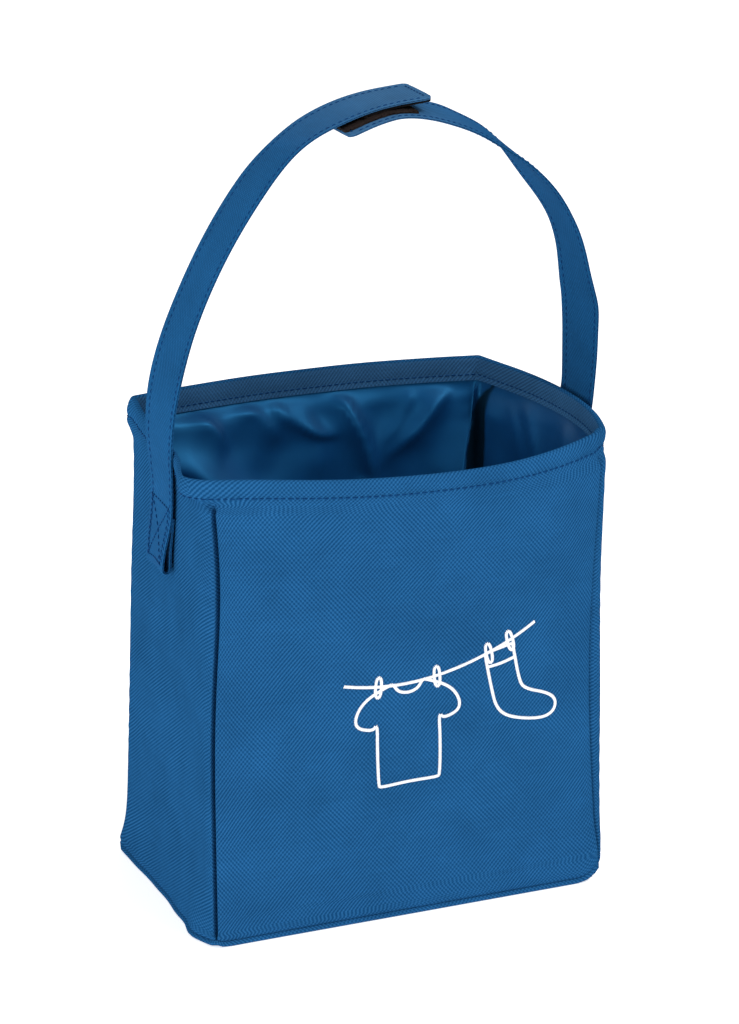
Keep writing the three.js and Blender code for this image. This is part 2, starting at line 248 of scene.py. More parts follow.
PAINTED_LIGHT_TO = 210 * MM
STRAP_PAINTED_LIGHT = 0.18

# Slopes across the straps: place in millimetres from the start of the route, or back from the free end where
# it is negative, then spread and slope
STRAP_ROLLS = {
    "left": ((52, 25, 0.055), (164, 16, -0.055)),
    "right": (
        (44, 16, -0.055), (66, 14, -0.09), (-54, 18, 0.12), (-80, 14, 0.12), (-112, 14, -0.055),
    ),
}

# Hook and loop tape
TAPE_HALF_WIDTH = 10.2 * MM
LOOP_THICKNESS = 1.0 * MM
HOOK_THICKNESS = 0.7 * MM
TAPE_GAP = 0.05 * MM
TAPE_END_INSET = 0.2 * MM
LOOP_LENGTH = 34 * MM
HOOK_LENGTH = 32 * MM
HOOK_SHIFT = -4.2 * MM
LOOP_PILE = 0.3 * MM
HOOK_PILE = 0.1 * MM
TAPE_ROWS = 48
TAPE_COLUMNS = 40

# Sewing thread: a stitch, the tube that draws it, the steps of a sewing line, and where the straps are sewn
STITCH_PITCH = 3.0 * MM
STITCH_LENGTH = 2.5 * MM
STITCH_RADIUS = 0.26 * MM
STITCH_RINGS = 6
STITCH_SIDES = 6
ROUTE_STEP = 0.5 * MM
BOX_SIDE_INSET = 3.6 * MM
BOX_END_INSET = 2.6 * MM
BOX_TOP_DROP = 2 * MM
BOX_STITCH_LEVEL = 1.1 * STRAP_HALF_THICKNESS
EDGE_STITCH_LEVEL = 0.6 * STRAP_HALF_THICKNESS
EDGE_ROW_ENDS = (3 * MM, 4 * MM)
TIP_INSET = 2.6 * MM
TIP_SIDE_INSET = 1.4 * MM

# Embroidery on the front: its place, its satin stitch, and its outlines in millimetres from the washing line
PICTURE_X = 11 * MM
PICTURE_Z = 91 * MM
SATIN_PITCH = 0.5 * MM
SATIN_WIDTH = 1.7 * MM
SATIN_RADIUS = 0.3 * MM
SATIN_SLANT = 0.25
SHIRT_HALF_OUTLINE = (
    (0, -4.6), (4.6, -3.2), (6.6, 0.4), (8.2, 0.6), (21, -5.6), (25.5, -16.4), (16.4, -20), (14.2, -16.4),
    (14.6, -30), (14.2, -46), (13.4, -47), (0, -46.4),
)
SOCK_OUTLINE = (
    (0, 0.4), (12.6, 0.4), (13, 0), (12.8, -18), (14.4, -23.6), (25.6, -30.4), (28.6, -35.6), (26, -40.6),
    (19, -41), (5.4, -34.6), (0.2, -28), (-0.4, -18), (-0.4, 0),
)
SOCK_CUFF = ((-0.4, -6.6), (6, -7.2), (12.8, -6.6))
PEG_MARK = ((-1.3, 4.4), (1.3, 4.4), (1.3, -5.2), (-1.3, -5.2))
SHIRT_AT = -15
SOCK_AT = 21
PEGS_AT = (-28.4, -1.6, 22.4, 32.2)
LINE_HALF_SPAN = 44 * MM
LINE_SAG = 9 * MM
LINE_SLOPE = 0.2
LINE_RAISE = 26 * MM
LINE_POINTS = 120
HANG_TURN = 0.6

# Weave: yarn pitches, stretch of the weft, least and most share of the waves that rise, its drift, and slubs
YARN_PITCH = 0.92 * MM
LINING_PITCH = 0.3 * MM
WEFT_STRETCH = 1.17
LEAST_RISING = 0.4
MOST_RISING = 0.8
DRIFT_SCALE = 30.0
DRIFT_RANGE = (0.36, 0.64)
SLUB_SCALE = (40, 900, 1)

# Finishes: roughness, relief and unevenness, then screen colours with parts from 0 to 255
CLOTH_ROUGHNESS = 0.8
CLOTH_MOTTLE = 0.1
YARN_SLUB = 0.04
YARN_RELIEF = 0.2 * MM
LINING_ROUGHNESS = (0.35, 0.5)
LINING_RELIEF = 0.008 * MM
THREAD_RELIEF = 0.06 * MM
PILE_RELIEF = 0.5 * MM
CARD_RELIEF = 0.1 * MM
SHELL_OVER = (35, 89, 136)
SHELL_UNDER = (17, 64, 106)
STRAP_OVER = (28, 85, 133)
STRAP_UNDER = (18, 70, 114)
# Pale colour mixed in as painted light on the hem's facing and the straps' upper ends
PAINTED_LIGHT_COLOUR = (112, 152, 182)
LINING_DARK = (10, 57, 101)
LINING_LIGHT = (14, 67, 117)
LINING_SHINE = (70, 185, 255)
# Near black mixed into the lining's colour as painted shade in the pleat's pocket
LINING_PAINTED_SHADE = (3, 7, 14)
BLUE_THREAD = ((8, 46, 92), (16, 66, 116))
WHITE_THREAD = ((222, 226, 232), (250, 250, 250))
LOOP_FIBRE = ((9, 7, 7), (50, 40, 37))
HOOK_FIBRE = ((4, 4, 5), (24, 22, 24))
GREY_CARD = ((110, 112, 114), (160, 160, 158))

# Camera: angles in degrees, distances in metres
CAMERA_YAW = -22.95
CAMERA_PITCH = 18.61
CAMERA_DISTANCE = 1.738
CAMERA_TARGET = (0.0048, 0.0, 0.1659)
FOCAL_PIXELS = 4000
IMAGE_HEIGHT = 1024
SENSOR = 36

# Stage: the floor's half side, and each light's place in metres, size and power
FLOOR_REACH = 8.0
FLOOR_GLOW = 0.55
SKY_STRENGTH = 0.58
LIGHT_AIM = (0, 0, 0.15)
LIGHTS = {
    "top_light": ((0.65, -0.85, 1.65), 0.8, 20),
    "front_light": ((-1.7, -0.9, 0.4), 1.2, 22),
}


# Curves and arrays

def smooth(value, low=0.0, high=1.0):
    """Smooth step: 0 below low, 1 above high, and a cubic with level ends between."""
    t = np.clip((np.asarray(value, dtype=float) - low) / (high - low), 0, 1)
    return t * t * (3 - 2 * t)


def unit(vectors):
    """Vectors divided by their own lengths."""
    return vectors / np.maximum(np.linalg.norm(vectors, axis=-1, keepdims=True), 1e-12)


def bell(value, middle, spread):
    """Bell curve: 1 at its middle, falling as the square of the distance over the spread."""
    return np.exp(-((value - middle) / spread) ** 2)


def end_dense(count, crowd=0.88):
    """Numbers from 0 to 1 whose steps shrink towards both ends: q less a sine of q."""
    q = np.linspace(0, 1, count)
    return q - crowd * np.sin(2 * np.pi * q) / (2 * np.pi)


def run_lengths(points):
    """Length run along a polyline at each of its points."""
    return np.concatenate([[0], np.cumsum(np.linalg.norm(np.diff(points, axis=0), axis=1))])


def read_off(marks, run, points):
    """Points of a polyline at marks along it, each coordinate read off on its own."""
    return np.stack([np.interp(marks, run, points[:, k]) for k in range(points.shape[1])], axis=-1)


def rounded(points, closed, times=3):
    """Polyline with its corners cut off at a quarter and three quarters of each side, several times."""
    for _ in range(times):
        following = np.roll(points, -1, axis=0)
        if not closed:
            points, following, ends = points[:-1], following[:-1], (points[0], points[-1])
        near = 0.75 * points + 0.25 * following
        far = 0.25 * points + 0.75 * following
        cut = np.stack([near, far], axis=1).reshape(-1, 2)
        points = cut if closed else np.concatenate([ends[0][None], cut, ends[1][None]])
    return np.concatenate([points, points[:1]]) if closed else points


# Meshes from arrays

def put_mesh(name, points, faces, uv=None, sharp=50):
    """Object from whole arrays: points (n, 3), four-sided faces (m, 4) and cloth coordinates.

    The coordinates are given for each point (n, 2) or for each face corner (m, 4, 2). The faces are turned
    round where the closed surface would enclose a negative volume.
    """
    points = np.asarray(points, dtype=float).reshape(-1, 3)
    faces = np.asarray(faces, dtype=np.int64).reshape(-1, 4)
    a, b, c, d = (points[faces[:, k]] for k in range(4))
    volume = (a * np.cross(b, c)).sum() + (a * np.cross(c, d)).sum()
    if uv is not None and np.ndim(uv) < 3:
        uv = np.asarray(uv, dtype=float).reshape(-1, 2)[faces]
    if volume < 0:
        faces = faces[:, ::-1]
        uv = None if uv is None else uv[:, ::-1]
    mesh = bpy.data.meshes.new(name)
    mesh.vertices.add(len(points))
    mesh.vertices.foreach_set("co", points.astype(np.float32).ravel())
    mesh.loops.add(faces.size)
    mesh.loops.foreach_set("vertex_index", faces.astype(np.int32).ravel())
    mesh.polygons.add(len(faces))
    mesh.polygons.foreach_set("loop_start", np.arange(0, faces.size, 4, dtype=np.int32))
    mesh.update(calc_edges=True)
    if uv is not None:
        layer = mesh.uv_layers.new(name="cloth")
        layer.data.foreach_set("uv", np.asarray(uv, dtype=np.float32).ravel())
    mesh.validate()
    mesh.shade_smooth()
    mesh.set_sharp_from_angle(angle=math.radians(sharp))
    obj = bpy.data.objects.new(name, mesh)
    bpy.context.scene.collection.objects.link(obj)
    return obj


def grid_faces(rows, columns, round_columns=False):
    """Four-sided faces between the neighbours of a grid, whose last column joins the first where asked."""
    index = np.arange(rows * columns).reshape(rows, columns)
    if round_columns:
        index = np.concatenate([index, index[:, :1]], axis=1)
    quads = [index[:-1, :-1], index[:-1, 1:], index[1:, 1:], index[1:, :-1]]
    return np.stack(quads, axis=-1).reshape(-1, 4)


def ring_cap(count):
    """Faces across a closed ring of points: each pair of neighbours joins the pair facing it."""
    pair = np.arange(count // 2 - 1)
    return np.stack([pair, pair + 1, count - 2 - pair, count - 1 - pair], axis=-1)


def tube_faces(rings, sides):
    """Faces of a tube of rings, closed across its first ring and its last."""
    cap = ring_cap(sides)
    round_faces = grid_faces(rings, sides, round_columns=True)
    return np.concatenate([round_faces, cap[:, ::-1], cap + (rings - 1) * sides])


def grid_normals(grid):
    """Unit normals of a grid of points: the cross product of its two differences."""
    along = np.gradient(grid, axis=1)
    up = np.gradient(grid, axis=0)
    return unit(np.cross(along, up))


def round_normals(grid):
    """Unit normals of a grid whose last column is next to its first."""
    wide = np.concatenate([grid[:, -1:], grid, grid[:, :1]], axis=1)
    return grid_normals(wide)[:, 1:-1]


def sheet_piece(name, grid, thickness, uv):
    """Sheet of cloth: a grid, the same grid moved back along its normals, and a strip round the border."""
    rows, columns = grid.shape[:2]
    count = rows * columns
    back = grid - grid_normals(grid) * thickness
    index = np.arange(count).reshape(rows, columns)
    border = np.concatenate([index[0, :-1], index[:-1, -1], index[-1, :0:-1], index[:0:-1, 0]])
    following = np.roll(border, -1)
    front_faces = grid_faces(rows, columns)
    back_faces = front_faces[:, ::-1] + count
    rim_faces = np.stack([border, border + count, following + count, following], axis=-1)
    points = np.concatenate([grid.reshape(-1, 3), back.reshape(-1, 3)])
    both = np.concatenate([uv.reshape(-1, 2), uv.reshape(-1, 2)])
    return put_mesh(name, points, np.concatenate([front_faces, back_faces, rim_faces]), both)


def surface_lengths(grid):
    """Cloth coordinates of a grid in metres: the mean lengths run along its columns and its rows."""
    along = np.linalg.norm(np.diff(grid, axis=1), axis=-1).mean(axis=0)
    up = np.linalg.norm(np.diff(grid, axis=0), axis=-1).mean(axis=1)
    u = np.concatenate([[0], np.cumsum(along)])
    v = np.concatenate([[0], np.cumsum(up)])
    return np.stack(np.meshgrid(u - u[-1] / 2, v), axis=-1)


def set_share(obj, name, share):
    """Number from 0 to 1 at each point of a piece, as a named attribute for its material."""
    layer = obj.data.attributes.new(name, "FLOAT", "POINT")
    layer.data.foreach_set("value", np.asarray(share, dtype=np.float32).ravel())


# Corners and walls of the bag

def corner(base, rim, lift, seam, rim_round, foot, pulls, bulges=(), flare=((0, 0), 1, 1)):
    """Corner line of the bag, lengths in millimetres.

    It holds its plan at the base and the rim, how far the rim rises there, the depth and the half width of
    the seam's groove, the rounding at the rim, and the foot: how far from the corner and how high the lower
    edge rises. Pulls draw the seam in and bulges push the corner, each with a plan offset, a share of the
    height and its spread. The flare is the plan offset of the slack hem, with its reach along the wall that
    ends here and along the wall that starts here.
    """
    return {
        "base": np.array(base) * MM,
        "rim": np.array(rim) * MM,
        "lift": lift * MM,
        "seam": np.array(seam) * MM,
        "rim_round": rim_round * MM,
        "foot": np.array(foot) * MM,
        "pulls": pulls,
        "bulges": bulges,
        "flare": tuple(np.array(size) * MM for size in flare),
    }


front_left = corner(
    BASE_FRONT_LEFT, RIM_FRONT_LEFT, lift=-1.4, seam=(3.8, 1.0), rim_round=9, foot=(7, 1.6),
    pulls=[((4.3, 0.6), 0.78, 0.23)],
    flare=((-8.0, 2.2), 26, 12),
)
front_right = corner(
    BASE_FRONT_RIGHT, RIM_FRONT_RIGHT, lift=-0.5, seam=(2.6, 0.5), rim_round=6, foot=(11, 8.5),
    pulls=[((-6.5, 0.6), 0.5, 0.42)],
)
back_right = corner(
    BASE_BACK_RIGHT, RIM_BACK_RIGHT, lift=0.8, seam=(2.6, 0.4), rim_round=1.2, foot=(10, 4),
    pulls=[((-3.0, -1.0), 0.5, 0.35)],
)
back_left = corner(
    BASE_BACK_LEFT, RIM_BACK_LEFT, lift=1.4, seam=(1.6, 0.4), rim_round=2, foot=(9, 2.4),
    pulls=[((1.6, -0.6), 0.85, 0.16), ((1.1, 0), 0.45, 0.3)],
    bulges=[((-2.8, 0.6), 0.955, 0.028), ((-3.0, 1.6), 0.0, 0.055)],
)


def wall(start, end, outward, bow, skew, fullness, sag, pull_reach, puffs, seed, foot_puffs=()):
    """Wall between two corners, lengths in millimetres.

    It holds the bow and sag at the rim's middle, the bow's shape, how far the seams' pull reaches into it,
    how far it puffs out beside its first and its last seam, a seed for its waves, and the places where its
    foot bulges: the distance from its end, the bulge and its half width.
    """
    return {
        "start": start,
        "end": end,
        "outward": np.array(outward, dtype=float),
        "bow": bow * MM,
        "skew": skew,
        "fullness": fullness,
        "sag": sag * MM,
        "pull_reach": pull_reach * MM,
        "puffs": np.array(puffs) * MM,
        "seed": seed,
        "foot_puffs": np.array(foot_puffs).reshape(-1, 3) * MM,
    }


walls = {
    "front": wall(
        front_left, front_right, (0, -1), bow=18, skew=1.22, fullness=0.82, sag=3.9,
        pull_reach=9, puffs=(0.3, 0.3), seed=3,
    ),
    "right": wall(
        front_right, back_right, (1, 0), bow=11, skew=0.85, fullness=0.95, sag=0.5,
        pull_reach=3.5, puffs=(2.0, 1.0), seed=5,
    ),
    "back": wall(
        back_right, back_left, (0, 1), bow=12, skew=1.0, fullness=1.0, sag=0.6,
        pull_reach=9, puffs=(0.5, 0.5), seed=7,
    ),
    "left": wall(
        back_left, front_left, (-1, 0), bow=1.4, skew=1.0, fullness=1.0, sag=1.0,
        pull_reach=5, puffs=(0.8, 0.8), seed=9,
        foot_puffs=[(15, 4.6, 10), (36, 3.2, 16), (64, 1.8, 16), (95, 2.6, 20)],
    ),
}
ring = list(walls.values())
for place, part in enumerate(ring):
    part["before"] = ring[place - 1]["outward"]
    part["after"] = ring[(place + 1) % len(ring)]["outward"]


def corner_plan(place, rise):
    """Plan of a corner line at a share of the rim's height: straight from the base to the rim."""
    return place["base"] + (place["rim"] - place["base"]) * rise[..., None]


def wall_length(part, level):
    """Straight length of a wall between its corners, at the base or at the rim."""
    return np.linalg.norm(part["end"][level] - part["start"][level])


def corner_shape(place, height):
    """Corner at a height: how far its plain rounding sinks and runs, and the groove's depth, mouth and flank.

    Between base and hem the corner is a groove. At the rim and at the base it is plainly rounded.
    """
    stitched = BAG_HEIGHT - HEM_STITCH_DROP
    above = height - BASE_SEAM_HEIGHT - place["foot"][1]
    at_rim = smooth(height, stitched - SEAM_TOP_FADE[0], stitched - SEAM_TOP_FADE[1])
    at_base = 1 - smooth(above, *SEAM_FOOT_FADE)
    radius = at_rim * place["rim_round"] + at_base * BASE_CORNER_ROUND
    groove = 1 - at_rim - at_base
    deep, mouth = (size * groove for size in place["seam"])
    run = ROUNDING_RUN * radius + ROUNDING_LEAST_RUN
    return ROUNDING_SINK * radius, run, deep, mouth, np.hypot(deep - mouth, deep)


def corner_fold(place, height, distance):
    """Cloth near a corner seam: its shift along the wall and its depth at a distance from the seam.

    From the seam the cloth comes out along the groove's flank, and turns onto the wall in a hyperbola. Where
    the corner is plain, its depth is a power curve.
    """
    sink, run, deep, mouth, flank = corner_shape(place, height)
    past = distance - flank
    gone = (np.sqrt(past ** 2 + SEAM_ROUND ** 2) - past) / (np.sqrt(flank ** 2 + SEAM_ROUND ** 2) + flank)
    plain = (1 - np.clip(distance / run, 0, 1)) ** ROUNDING_POWER
    return (flank + deep - mouth) * gone, sink * plain + deep * gone


def corner_offset(place, height):
    """Plan offset of a corner: bells over the height, for its bulges and for its pulls.

    The pulls are held still at the base and at the rim.
    """
    rise = height / BAG_HEIGHT
    held = smooth(rise, 0.0, PULL_HELD[0]) * (1 - smooth(rise, PULL_HELD[1], 1.0))
    offset = np.zeros((*np.shape(height), 2))
    for amount, middle, spread in place["pulls"]:
        offset = offset + np.array(amount) * MM * (bell(rise, middle, spread) * held)[..., None]
    for amount, middle, spread in place["bulges"]:
        offset = offset + np.array(amount) * MM * bell(rise, middle, spread)[..., None]
    return offset


def rim_flare(place, height, distance, reach):
    """Plan offset of the slack hem near a corner: a bell along the wall, fading just below the sewing."""
    below = BAG_HEIGHT - HEM_STITCH_DROP - height
    strength = (1 - smooth(below, *FLARE_FADE)) * bell(distance, 0, reach)
    return place["flare"][0] * strength[..., None]


def seam_puff(distance, height):
    """Bulge of a wall beside a seam: a bell a few millimetres from it, from above the base to half way up."""
    free = smooth(height, 0, PUFF_START) * (1 - smooth(height / BAG_HEIGHT, *PUFF_FADE))
    return bell(distance, PUFF_DISTANCE, PUFF_DISTANCE) * free


def foot_puff(part, to_end, height):
    """Bulges of a wall just above the base seam, each a bell along the wall that fades upward."""
    total = np.zeros_like(height)
    for at, amount, spread in part["foot_puffs"]:
        total = total + amount * bell(to_end, at, spread) * bell(height, 0, FOOT_PUFF_HEIGHT)
    return total


def foot_line(part, from_start, to_end):
    """Height of a wall's lower edge: level along the wall, and rising at each corner as a quarter ellipse."""
    low = np.full(np.shape(from_start), BASE_SEAM_HEIGHT)
    for place, distance in ((part["start"], from_start), (part["end"], to_end)):
        reach, rise = place["foot"]
        t = np.clip(distance / reach, 0, 1)
        low = low + rise * (1 - np.sqrt(1 - (1 - t) ** 2))
    return low


def wall_foot(part, share):
    """Height of a wall's lower edge at shares of its length."""
    length = wall_length(part, "base")
    return foot_line(part, share * length, (1 - share) * length)


def seeded_waves(seed, count, lengths, steepness, along, height):
    """Sum of sine waves with seeded lengths, directions and phases, each as high as a share of its length."""
    draw = np.random.default_rng(seed)
    total = 0.0
    for _ in range(count):
        length = draw.uniform(*lengths) * MM
        turn = draw.uniform(0, np.pi)
        phase = draw.uniform(0, 2 * np.pi)
        way = along * np.cos(turn) + height * np.sin(turn)
        total = total + length * steepness * np.sin(2 * np.pi * way / length + phase)
    return total


def seam_puckers(distance, position, seed):
    """Puckers beside a seam: a sine along the seam that dies out within a few millimetres of it."""
    first, second, third = (position / length for length in PUCKER_WANDER)
    wander = np.sin(first + seed) + 0.6 * np.sin(second + 2 * seed)
    ripple = np.sin(2 * np.pi * position / PUCKER_LENGTH + 1.6 * wander)
    near = np.exp(-distance / PUCKER_REACH) * smooth(distance, *PUCKER_START)
    return PUCKER_DEPTH * ripple * near * (0.6 + 0.4 * np.sin(third + 3 * seed))


def hem_relief(height, along, seed):
    """Relief of the hem: a groove under the sewing, a puffed band above it and a soft swell below."""
    drop = BAG_HEIGHT - height
    groove = bell(drop, HEM_STITCH_DROP, HEM_GROOVE_WIDTH)
    puff = smooth(drop, *HEM_PUFF_START) * (1 - smooth(drop, HEM_STITCH_DROP - HEM_PUFF_END, HEM_STITCH_DROP))
    swell = bell(drop, HEM_STITCH_DROP + HEM_SWELL_DROP, HEM_SWELL_WIDTH)
    wander = 1.8 * np.sin(along / HEM_RIPPLE_WANDER + seed)
    ripple = np.sin(2 * np.pi * along / HEM_RIPPLE_LENGTH + wander)
    beside = bell(drop, HEM_STITCH_DROP, HEM_RIPPLE_WIDTH)
    return HEM_PUFF * puff + HEM_SWELL * swell - HEM_GROOVE * groove, HEM_RIPPLE * ripple * beside


def base_roll(above):
    """Depth of a wall at a height above its lower edge: a quarter ellipse that turns in under the wall."""
    t = np.clip(above / BASE_ROLL_HEIGHT, 0, 1)
    return BASE_SEAM_DEPTH * (1 - np.sqrt(1 - (1 - t) ** 2))


def wall_point(part, share, height, depth=0.0):
    """Point of a wall for arrays of the share along it, the height, and the depth below its outer face.

    The wall is a straight band between two corner lines, bowed out by a sine of the share that grows with a
    power of the height. It sags at its middle, rolls in at the corner seams and at the base seam, is drawn in
    by the seams' tension, and carries the hem's relief, puckers and soft waves. At its ends it is brought
    to the mitre that it shares with the next wall.
    """
    share, height, depth = (np.asarray(v, dtype=float) for v in np.broadcast_arrays(share, height, depth))
    rise = np.clip(height / BAG_HEIGHT, 0, 1)
    start = corner_plan(part["start"], rise)
    chord = corner_plan(part["end"], rise) - start
    length = np.linalg.norm(chord, axis=-1)
    way = chord / length[..., None]
    relief, ripple = hem_relief(height, share * length, part["seed"])
    above = height - foot_line(part, share * length, (1 - share) * length)
    face = np.clip(1 - depth / HEM_FOLD_RADIUS, -FACING_RELIEF, 1)
    depth = depth - relief * face + base_roll(above)
    start_sink, _, start_deep, start_mouth, start_flank = corner_shape(part["start"], height)
    end_sink, _, end_deep, end_mouth, end_flank = corner_shape(part["end"], height)
    start_run = start_sink + depth + start_mouth - start_flank
    free = length - start_run - (end_sink + depth + end_mouth - end_flank)
    start_shift, start_depth = corner_fold(part["start"], height, share * free)
    end_shift, end_depth = corner_fold(part["end"], height, (1 - share) * free)
    swell = np.sin(np.pi * np.clip(share, 0, 1) ** part["skew"]).clip(0) ** part["fullness"]
    along = start_run + share * free + start_shift - end_shift
    from_start = np.maximum(share * free - start_flank, 0)
    to_end = np.maximum((1 - share) * free - end_flank, 0)
    at_seam = np.minimum(from_start, to_end)
    loose = smooth(at_seam, 0, LOOSE_REACH) * smooth(height, 0, LOOSE_REACH)
    out = part["bow"] * swell * rise ** BOW_GROWTH - depth - start_depth - end_depth
    for number, distance in enumerate((from_start, to_end)):
        out = out + part["puffs"][number] * seam_puff(distance, height)
        out = out + seam_puckers(distance, height, part["seed"] + number)
    out = out + foot_puff(part, to_end, height)
    out = out + seeded_waves(part["seed"], WAVE_COUNT, WAVE_LENGTHS, WAVE_STEEPNESS, along, height) * loose
    out = out + seam_puckers(np.maximum(above, 0), along, part["seed"] + 2) * loose
    out = out + ripple * face * smooth(at_seam, *HEM_RIPPLE_START)
    plan = start + way * along[..., None] + part["outward"] * out[..., None]
    start_fix = -(start_sink + start_deep + depth)[..., None] * (way + part["before"])
    end_fix = (end_sink + end_deep + depth)[..., None] * (way - part["after"])
    ends = (
        (part["start"], from_start, start_fix, part["start"]["flare"][2]),
        (part["end"], to_end, end_fix, part["end"]["flare"][1]),
    )
    for place, distance, fix, flare_reach in ends:
        pull = corner_offset(place, height) * np.exp(-distance / part["pull_reach"])[..., None]
        plan = plan + pull + fix * np.exp(-distance / MITRE_REACH)[..., None]
        plan = plan + rim_flare(place, height, distance, flare_reach)
    lift = part["start"]["lift"] * (1 - share) + part["end"]["lift"] * share
    level = height + (lift - part["sag"] * swell) * rise ** SAG_GROWTH
    return np.concatenate([plan, level[..., None]], axis=-1)


def wall_share(part, height, coordinate, axis):
    """Share along a wall at which its plan crosses a given x (axis 0) or y (axis 1)."""
    rise = np.clip(height / BAG_HEIGHT, 0, 1)
    start, end = (corner_plan(part[name], rise)[..., axis] for name in ("start", "end"))
    ends = []
    for place in (part["start"], part["end"]):
        sink, _, _, mouth, flank = corner_shape(place, height)
        ends.append((sink + mouth - flank) * np.sign(end - start))
    return (coordinate - start - ends[0]) / (end - start - ends[0] - ends[1])


def panel_grid(part, columns):
    """Outer cloth of a wall: up the wall, over the rim in a half circle, and down the facing inside."""
    share = end_dense(columns)[None, :]
    low = wall_foot(part, share)
    fold = np.linspace(0, np.pi, HEM_FOLD_ROWS)[1:-1, None]
    fold_height = BAG_HEIGHT - HEM_FOLD_RADIUS
    up = low + (fold_height - low) * end_dense(PANEL_ROWS)[:, None]
    over = fold_height + HEM_FOLD_RADIUS * np.sin(fold) + 0 * share
    down = fold_height - FACING_DEPTH * np.linspace(0, 1, FACING_ROWS)[:, None] + 0 * share
    fold_depths = HEM_FOLD_RADIUS * (1 - np.cos(fold)) + 0 * share
    depths = np.concatenate([np.zeros_like(up), fold_depths, np.full_like(down, 2 * HEM_FOLD_RADIUS)])
    return wall_point(part, share, np.concatenate([up, over, down]), depths)


# Shader node helpers

def add_node(tree, kind, values=None, **settings):
    """Node of a kind with its settings, and values for its unlinked inputs by name or number."""
    node = tree.nodes.new(kind)
    for key, value in settings.items():
        setattr(node, key, value)
    for key, value in (values or {}).items():
        node.inputs[key].default_value = value
    return node


def link(tree, source, target):
    """Link from an output to an input."""
    tree.links.new(source, target)


def math_node(tree, operation, first, second=None):
    """Math node whose inputs are sockets or plain numbers."""
    node = add_node(tree, "ShaderNodeMath", operation=operation)
    for place, value in ((0, first), (1, second)):
        if isinstance(value, (int, float)):
            node.inputs[place].default_value = value
        elif value is not None:
            link(tree, value, node.inputs[place])
    return node.outputs[0]


def map_range(tree, value, low, high, value_low=0.0, value_high=1.0):
    """Value carried over from its own range to another one, and held within it."""
    node = add_node(tree, "ShaderNodeMapRange", {1: value_low, 2: value_high, 3: low, 4: high})
    link(tree, value, node.inputs[0])
    return node.outputs[0]


def object_noise(tree, scale, detail, roughness=0.5):
    """Noise over the piece's own coordinates."""
    place = add_node(tree, "ShaderNodeTexCoord")
    noise = add_node(tree, "ShaderNodeTexNoise", {"Scale": scale, "Detail": detail, "Roughness": roughness})
    link(tree, place.outputs["Object"], noise.inputs["Vector"])
    return noise.outputs[0]


def srgb(red, green, blue):
    """Linear colour of a screen colour with parts from 0 to 255."""
    parts = np.array([red, green, blue]) / 255
    linear = np.where(parts <= 0.04045, parts / 12.92, ((parts + 0.055) / 1.055) ** 2.4)
    return (*linear.tolist(), 1.0)


def mix_colour(tree, factor, first, second, blend="MIX"):
    """Colour mix whose factor is a socket or a number and whose colours are sockets or screen colours."""
    node = add_node(tree, "ShaderNodeMix", data_type="RGBA", blend_type=blend)
    for place, value in ((0, factor), (6, first), (7, second)):
        if isinstance(value, bpy.types.NodeSocket):
            link(tree, value, node.inputs[place])
        else:
            node.inputs[place].default_value = srgb(*value) if isinstance(value, tuple) else value
    return node.outputs[2]


def woven_group():
    """Weave with a slant: two sets of diagonal waves cross as a checker, and their shares drift.

    Height is the raised middle of each yarn, Over says which yarn is on top, Slub varies along the yarns.
    """
    group = bpy.data.node_groups.new("plain_weave", "ShaderNodeTree")
    group.interface.new_socket("Cloth", in_out="INPUT", socket_type="NodeSocketVector")
    pitch = group.interface.new_socket("Yarn Pitch", in_out="INPUT", socket_type="NodeSocketFloat")
    pitch.default_value = YARN_PITCH
    for name in ("Height", "Over", "Slub"):
        group.interface.new_socket(name, in_out="OUTPUT", socket_type="NodeSocketFloat")
    entry = group.nodes.new("NodeGroupInput")
    leave = group.nodes.new("NodeGroupOutput")
    parts = add_node(group, "ShaderNodeSeparateXYZ")
    link(group, entry.outputs["Cloth"], parts.inputs[0])
    rate = math_node(group, "DIVIDE", math.pi, entry.outputs["Yarn Pitch"])
    warp = math_node(group, "MULTIPLY", parts.outputs[0], rate)
    weft = math_node(group, "MULTIPLY", parts.outputs[1], math_node(group, "DIVIDE", rate, WEFT_STRETCH))
    rising = math_node(group, "COSINE", math_node(group, "SUBTRACT", warp, weft))
    falling = math_node(group, "COSINE", math_node(group, "ADD", warp, weft))
    drift = add_node(group, "ShaderNodeTexNoise", {"Scale": DRIFT_SCALE, "Detail": 1.0})
    link(group, entry.outputs["Cloth"], drift.inputs["Vector"])
    share = map_range(group, drift.outputs[0], LEAST_RISING, MOST_RISING, *DRIFT_RANGE)
    both = math_node(group, "ADD", rising, falling)
    crossing = math_node(group, "SUBTRACT", math_node(group, "MULTIPLY", both, share), falling)
    height = math_node(group, "MULTIPLY_ADD", crossing, 0.5)
    height.node.inputs[2].default_value = 0.5
    over = map_range(group, crossing, 0.0, 1.0, -0.5, 0.5)
    stretch = add_node(group, "ShaderNodeMapping", {"Scale": SLUB_SCALE})
    link(group, entry.outputs["Cloth"], stretch.inputs["Vector"])
    slub = add_node(group, "ShaderNodeTexNoise", {"Scale": 1.0, "Detail": 2.0})
    link(group, stretch.outputs[0], slub.inputs["Vector"])
    link(group, height, leave.inputs["Height"])
    link(group, over, leave.inputs["Over"])
    link(group, slub.outputs[0], leave.inputs["Slub"])
    return group


def start_material(name, roughness, specular, sheen=0.0, sheen_roughness=0.5):
    """Material with a Principled shader whose plain numbers are set on its own sockets."""
    material = bpy.data.materials.new(name)
    material.use_nodes = True
    tree = material.node_tree
    shader = tree.nodes["Principled BSDF"]
    shader.inputs["Roughness"].default_value = roughness
    shader.inputs["Specular IOR Level"].default_value = specular
    shader.inputs["Sheen Weight"].default_value = sheen
    shader.inputs["Sheen Roughness"].default_value = sheen_roughness
    return material, tree, shader


def bump(tree, shader, height, distance):
    """Relief of a material from a height, as deep as a distance."""
    node = add_node(tree, "ShaderNodeBump", {"Strength": 1.0, "Distance": distance})
    link(tree, height, node.inputs["Height"])
    link(tree, node.outputs[0], shader.inputs["Normal"])


